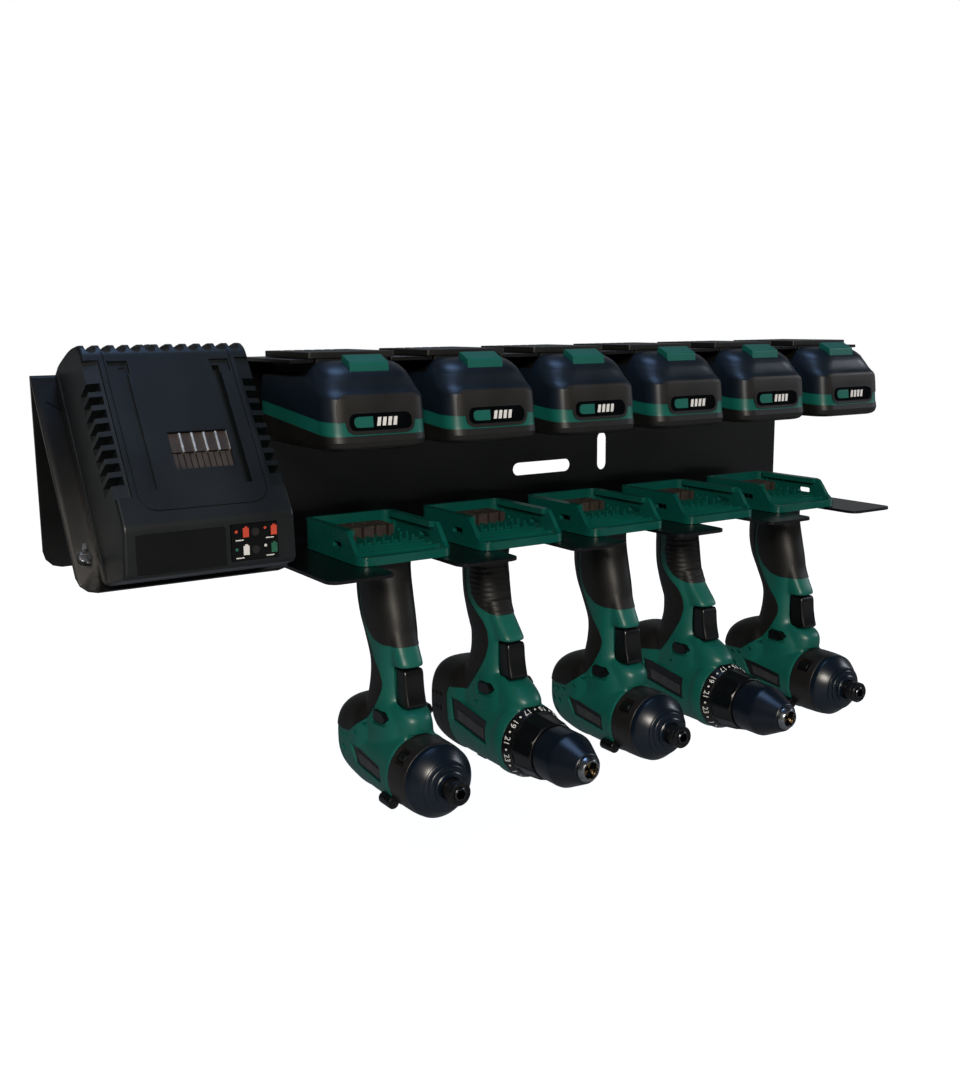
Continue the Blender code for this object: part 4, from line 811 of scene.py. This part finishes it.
def makePack():
    # the shell's finish carries a painted sky-blue reflection in its colour
    whole = packStack("pack", 20, pack["body"], "packShellPaintedSky")
    nose = packStack("nose", 80, pack["nose"])
    carve(nose, block("under", (-60, 60), (0, 98.4), (-11.5, 20)))
    fuse(whole, nose)
    soften(whole, 0.5, 2, 25)
    line, fall = pack["band"], pack["bandHeight"]
    above = line + [(160, 20), (0, 20)]
    fallen = [(a, b - fall) for a, b in line]
    below = fallen + [(160, -90), (0, -90)]
    upper = copyPiece(whole, "upper")
    carve(upper, prism("below", line + [(160, -90), (0, -90)], fromSide, -60, 60),
          block("pocket", (-15, 15), (109.2, 122.9), (-14, 20)))
    band = swell(copyPiece(whole, "band", "greenAbs"), -0.25)
    carve(band, prism("below", below, fromSide, -60, 60), prism("above", above, fromSide, -60, 60))
    lower = copyPiece(whole, "lower", "packTray")
    carve(lower, prism("above", fallen + [(160, 20), (0, 20)], fromSide, -60, 60))

    def onFront(name, outline, lift, finish, edge=0.0, low=120):
        return stamp(whole, name, outline, fromFront, low, 160, lift, finish, edge)

    face = easeCorners(corners((-31.5, 33), (-40.6, -22.6)), [0, 0, 14, 14], 12)
    # the front plate's warm brown-grey is a painted reflection of the dark ground
    plate = onFront("plate", face, 0.35, "packFacePaintedGround", 0.12, 115)
    a, b, width, height = pack["window"]
    bezel = onFront("bezel", roundRect(a, b, width, height, 8, 8), 0.6, "packTray", 0.25)
    glass = onFront("glass", roundRect(a, b, width - 5, height - 4.5, 5.4, 8), 0.85, "smokedWindow", 0.15)
    push = easeCorners(corners((a - 20, a - 6), (b - 3.6, b + 3.6)), [4, 0.5, 0.5, 4], 6)
    button = onFront("button", push, 1.1, "greenAbs", 0.2)
    bars = []
    for k in range(4):
        x = a - 3.4 + 4.1 * k
        outline = [(x, b - 2.9), (x + 2.6, b - 2.9), (x + 3.7, b + 2.9), (x + 1.1, b + 2.9)]
        bars.append(onFront("bar", outline, 1.0, "whiteInk"))
    bar = fuse(bars[0], *bars[1:])
    rail = prism("rail", roundRect(0, 59.5, 67, 75, 2.5), fromAbove, 0.3, 4.6, "packTray")
    neck = block("neck", (-27.5, 27.5), (22, 96.9), (-13, 3), "packTray")
    slots = [block("slot", (x - 1.3, x + 1.3), (12, 52), (2.2, 12)) for x in (-20, -12, -4, 4, 12, 20)]
    fuse(rail, neck)
    carve(rail, *slots)
    wedge = [(109.6, -9), (109.6, 2.8), (111, 2.9), (121.6, -2), (122.6, -9)]
    latch = prism("latch", easeCorners(wedge, [0, 0.8, 0.8, 1, 0.3]), fromSide, -14.6, 14.6, "greenAbs")
    bpy.data.objects.remove(whole, do_unlink=True)
    return [("upperShell", shade(upper), "", "pack_black", "case"),
            ("greenBand", shade(band), "", "green_abs"), ("lowerTray", shade(lower), "", "pack_black"),
            ("frontPlate", shade(plate), "", "pack_black"), ("gaugeBezel", shade(bezel), "", "pack_black"),
            ("gaugeWindow", shade(glass), "", "pack_black"),
            ("gaugeButton", shade(button), "", "green_abs"), ("gaugeBars", shade(bar), "", "pack_black"),
            ("railBlock", shade(soften(rail, 0.5, 2)), "", "pack_black"),
            ("releaseButton", shade(soften(latch, 1.1, 3)), "latch", "green_abs", "latch")]


hangCopies("battery", range(1, 7), 3.5, "packPitch", "shelfZ", makePack())
print("battery packs done")


# Charger

charger = {
    "side": [(2.1, 0), (2.1, 15), (7, 39.6), (14.9, 56.4), (21.9, 60), (148.75, 60), (175, 42), (160.1, 0)],
    "half": 59, "base": 11, "taper": 0.055, "bayAcross": (-14.4, 27), "bayDown": (84, 111),
    "louvres": 8, "louvrePitch": 9.6, "louvreStart": 45, "louvreWidth": 6, "ribs": 12, "ribPitch": 10.2,
}


def makeCase():
    c = charger
    case = prism("case", easeCorners(c["side"], [0, 6, 8, 8, 8, 3, 4, 0], 4), chargerSide, -c["half"],
                 c["half"], "chargerShell")
    soften(case, 2.5, 3, 50)
    cutters = [chargerBox("below", (-70, 70), (-10, 200), (-10, c["base"] + 0.3))]
    for side in (-1, 1):
        step = [(side * 47.4, 63), (side * 70, 63), (side * 70, 56.4), (side * 50, 58.2),
                (side * 48.4, 58.6)]
        cutters.append(ringLoft("shoulder", [[onCharger(x, s, t) for x, t in step] for s in (29, 128)]))
        for k in range(c["louvres"]):
            s = c["louvreStart"] + k * c["louvrePitch"]
            cutters.append(chargerBox("louvre", sorted((side * 50.4, side * 70)), (s, s + c["louvreWidth"]),
                                      (42, 62)))
    start, end = Vector((1.5, 30)), Vector((23, 66))
    for k in range(1, c["ribs"]):
        x = (k - c["ribs"] / 2) * c["ribPitch"]
        rings = [[onCharger(x + a, place.x - b * 0.86, place.y + b * 0.51) for a, b in circle(0, 0, 3.8, 12)]
                 for place in (start, end)]
        cutters.append(ringLoft("scallop", rings))
    carve(case, *cutters)
    half, end = 45, 139
    outer = easeCorners(corners((-half, half), (-20, end)), [0, 0, 14, 14], 10)
    inner = easeCorners(corners((0.8 - half, half - 0.8), (-20, end - 0.8)), [0, 0, 13.4, 13.4], 10)
    groove = prism("groove", outer, onCharger, 59, 70)
    carve(groove, prism("inner", inner, onCharger, 50, 80))
    trims = [groove, chargerBox("bay", c["bayAcross"], c["bayDown"], (50, 70))]
    for side in (-1, 1):
        deep = 57.6 if side < 0 else 52
        trims.append(chargerBox("rail", sorted((side * 30.5, side * 35.5)), (34, 124), (deep, 70)))
        trims.append(chargerBox("mouth", sorted((side * 29, side * 43)), (30, 40), (58.2, 70)))
    trims.append(prism("plate", easeCorners(corners((12, 46), (0, 24)), 1), chinFace, -1.9, 5))
    trims.append(prism("label", easeCorners(corners((-49, 9), (0.5, 26)), 1.5), chinFace, -0.4, 5))
    carve(case, *trims)
    soften(case, 0.35, 2, 45)
    fold = Vector((station["easelX"], 0, station["foldZ"])) * mm
    for vertex in case.data.vertices:  # the sides draw in towards the face
        stand = (vertex.co - fold).dot(offAxis) / (60 * mm)
        vertex.co.x = fold.x + (vertex.co.x - fold.x) * (1 - c["taper"] * max(0.0, min(1.0, stand)))
    return shade(case)


chinTop, chinEnd = Vector((148.75, 60)), Vector((175, 42))
chinDown = (chinEnd - chinTop).normalized()
chinOut = Vector((-chinDown.y, chinDown.x))
chinStart = (chinTop + chinEnd) / 2 - chinDown * 12


def chinFace(a, b, run):  # b runs down the sloping front face
    place = chinStart + chinDown * b + chinOut * run
    return onCharger(a, place.x, place.y)


def makeContacts():
    base = chargerBox("contacts", (-14, 26.5), (84.3, 110.7), (50.2, 54), "brownPhenolic")
    rows = []
    for k in range(5):
        x = -9.7 + 8 * k
        rows += [chargerBox("rib", (x - 3.2, x + 3.2), (84.5, 98), (51, 58)),
                 chargerBox("step", (x - 3.7, x - 0.4), (98.8, 110.5), (51, 57.6)),
                 chargerBox("step", (x + 0.4, x + 3.7), (98.8, 110.5), (51, 57.2))]
    fuse(base, *rows)
    places = [-5.7 + 8 * k for k in range(4)] + [26]
    blades = [chargerBox("blade", (x - 0.7, x + 0.7), (84.8, 98.6), (51, 59.5), "tinPlate") for x in places]
    return shade(soften(base, 0.3, 2)), shade(soften(fuse(blades[0], *blades[1:]), 0.2, 2))


def makeLampMarks():
    marks = {"whiteInk": [], "redInk": [], "greenInk": [], "castCase": []}

    def dot(finish, a, b, radius):
        marks[finish].append(prism("dot", circle(a, b, radius, 20), chinFace, -0.2, 0.12, finish))

    def cell(finish, a, b):
        outline = [(a - 2, b - 3), (a - 0.9, b - 3), (a - 0.9, b - 3.9), (a + 0.9, b - 3.9),
                   (a + 0.9, b - 3), (a + 2, b - 3), (a + 2, b + 3), (a - 2, b + 3)]
        marks[finish].append(prism("cell", outline, chinFace, -0.2, 0.12, finish))

    for b, ink, other in ((6, "redInk", "redInk"), (17.5, "whiteInk", "greenInk")):
        dot(other, 15.5, b - 1, 1.0)
        cell(ink, 22, b)
        dot("castCase", 28.5, b, 2.6)
        dot(ink, 35, b - 2, 0.9)
        cell(other, 41, b)
        for a in (16.5, 37):
            outline = roundRect(a + 1, b + 4.6, 5.4, 0.7, 0.2, 2)
            marks["whiteInk"].append(prism("line", outline, chinFace, -0.2, 0.1, "whiteInk"))
    return [(name, shade(fuse(group[0], *group[1:]))) for name, group in marks.items()]


settle(makeCase(), "rack", "charger_black", "charger_case").name = "chargerCase"
settle(cleanCopy("charger_base", "chargerBack", "chargerShell", 0.4), "rack", "charger_black",
       "charger_base")
settle(cleanCopy("charger_gland", "cordGland", "glandRubber", 0.3), "rack", "gland_rubber", "charger_gland")
contactBlock, blades = makeContacts()
contactBlock.name, blades.name = "contactBlock", "contactBlades"
settle(contactBlock, "rack", "contact_brown", "charger_contacts")
settle(blades, "rack", "bright_steel")
lampPlate = prism("lampPlate", easeCorners(corners((12.3, 45.7), (0.3, 23.7)), 1), chinFace, -1.7, -0.1,
                  "smokedWindow")
settle(shade(soften(lampPlate, 0.2, 2)), "rack", "lamp_window", "charger_lamps")
labelPlate = prism("labelPlate", easeCorners(corners((-48.7, 8.7), (0.8, 25.7)), 1.5), chinFace, -0.4,
                   0.05, "bareLabel")
settle(shade(labelPlate), "rack", "lamp_window")
for name, mark in makeLampMarks():
    mark.name = "lampMarks_" + name
    settle(mark, "rack", "lamp_window")
print("charger done")


# Studio: a pale floor that keeps the shadow, a white surround, soft lamps and the camera

def makeFloor():
    far = (-9000, 9000)
    floor = meshPiece("floor", [spot(x, depth, -620) for x, depth in corners(far, far)], [(0, 1, 2, 3)])
    finish, tree = newFinish("paleFloor")
    rays = addNode(tree, "LightPath")
    where = addNode(tree, "TexCoord").outputs["Object"]
    reach = addNode(tree, "VectorMath", {"operation": "LENGTH"}, links={0: where})
    seen = addNode(tree, "Math", {"operation": "MAXIMUM"},
                   links={0: rays.outputs["Is Camera Ray"], 1: rays.outputs["Is Glossy Ray"]})
    inSight = remap(tree, reach.outputs["Value"], 0.5, 1.8, 0.85, 1.0)
    inGloss = remap(tree, reach.outputs["Value"], 5.0, 9.0, 0.0, 1.0)
    spread = addNode(tree, "Mix", {"data_type": "FLOAT"},
                     links={"Factor": rays.outputs["Is Camera Ray"], "A": inGloss, "B": inSight})
    matt = addNode(tree, "BsdfPrincipled", values={"Base Color": hexColour("#979795"), "Roughness": 0.9})
    glow = addNode(tree, "Emission", values={"Color": (1, 1, 1, 1)}, links={"Strength": spread.outputs[0]})
    both = addNode(tree, "AddShader", links={0: matt.outputs[0], 1: glow.outputs[0]})
    mix = addNode(tree, "MixShader", links={0: seen.outputs[0], 1: matt.outputs[0], 2: both.outputs[0]})
    closeFinish(tree, mix)
    floor.data.materials.append(finish)


def makeSurround():
    world = bpy.data.worlds.new("surround")
    scene.world = world
    world.use_nodes = True
    tree = world.node_tree
    tree.nodes.clear()
    rays = addNode(tree, "LightPath")
    seen = addNode(tree, "Math", {"operation": "MAXIMUM"},
                   links={0: rays.outputs["Is Camera Ray"], 1: rays.outputs["Is Transmission Ray"]})
    way = addNode(tree, "TexCoord").outputs["Generated"]
    behind = addNode(tree, "VectorMath", {"operation": "DOT_PRODUCT"}, values={1: (0.54, 0.84, 0.05)},
                     links={0: way})
    # the white backdrop stands behind the object
    wall = remap(tree, behind.outputs["Value"], 0.55, 0.92, 0.03, 0.25)
    dim = addNode(tree, "Background", values={"Color": hexColour("#e9eef4"), "Strength": 0.12})
    sheen = addNode(tree, "Background", values={"Color": hexColour("#eaf0f6")}, links={"Strength": wall})
    white = addNode(tree, "Background", values={"Color": (1, 1, 1, 1), "Strength": 1.0})
    soft = addNode(tree, "MixShader", links={0: rays.outputs["Is Glossy Ray"], 1: dim.outputs[0],
                                             2: sheen.outputs[0]})
    mix = addNode(tree, "MixShader", links={0: seen.outputs[0], 1: soft.outputs[0], 2: white.outputs[0]})
    addNode(tree, "OutputWorld", links={"Surface": mix.outputs[0]})


lamps = {  # place in metres, aim, size, power, colour
    "keyLamp": ((-1.5, -2.6, 1.2), (0, -0.1, -0.1), 0.9, 74, "#fff6ea"),
    "sideLamp": ((2.6, -0.9, 0.9), (0, -0.1, -0.1), 1.0, 16, "#eef4ff"),
    "topLamp": ((-0.2, 0.1, 2.4), (0, -0.1, 0), 1.4, 22, "#9cc4ff"),
}


def aim(thing, place, target):
    thing.location = place
    thing.rotation_euler = (Vector(target) - Vector(place)).to_track_quat("-Z", "Y").to_euler()


def makeLamps():
    for name, (place, target, size, power, colour) in lamps.items():
        data = bpy.data.lights.new(name, "AREA")
        data.shape = "DISK"
        data.size = size
        data.energy = power
        data.color = hexColour(colour)[:3]
        aim(addPiece(name, data), place, target)


view = {"place": (-0.6118, -0.8509, 0.0692), "yaw": 32.6, "pitch": 10.4, "roll": 0.5, "lens": 40.1}


def makeCamera():
    yaw, pitch, roll = (math.radians(view[key]) for key in ("yaw", "pitch", "roll"))
    ahead = Vector((math.sin(yaw) * math.cos(pitch), math.cos(yaw) * math.cos(pitch), -math.sin(pitch)))
    right = Vector((math.cos(yaw), -math.sin(yaw), 0))
    up = right.cross(ahead)
    turned = Matrix((right, up, -ahead)).transposed().to_4x4()
    turned = turned @ Matrix.Rotation(-roll, 4, "Z")
    data = bpy.data.cameras.new("camera")
    data.lens = view["lens"]
    camera = addPiece("camera", data)
    camera.matrix_world = Matrix.Translation(Vector(view["place"])) @ turned
    scene.camera = camera


makeFloor()
makeSurround()
makeLamps()
makeCamera()
scene.view_settings.view_transform = "Standard"
print("studio done")
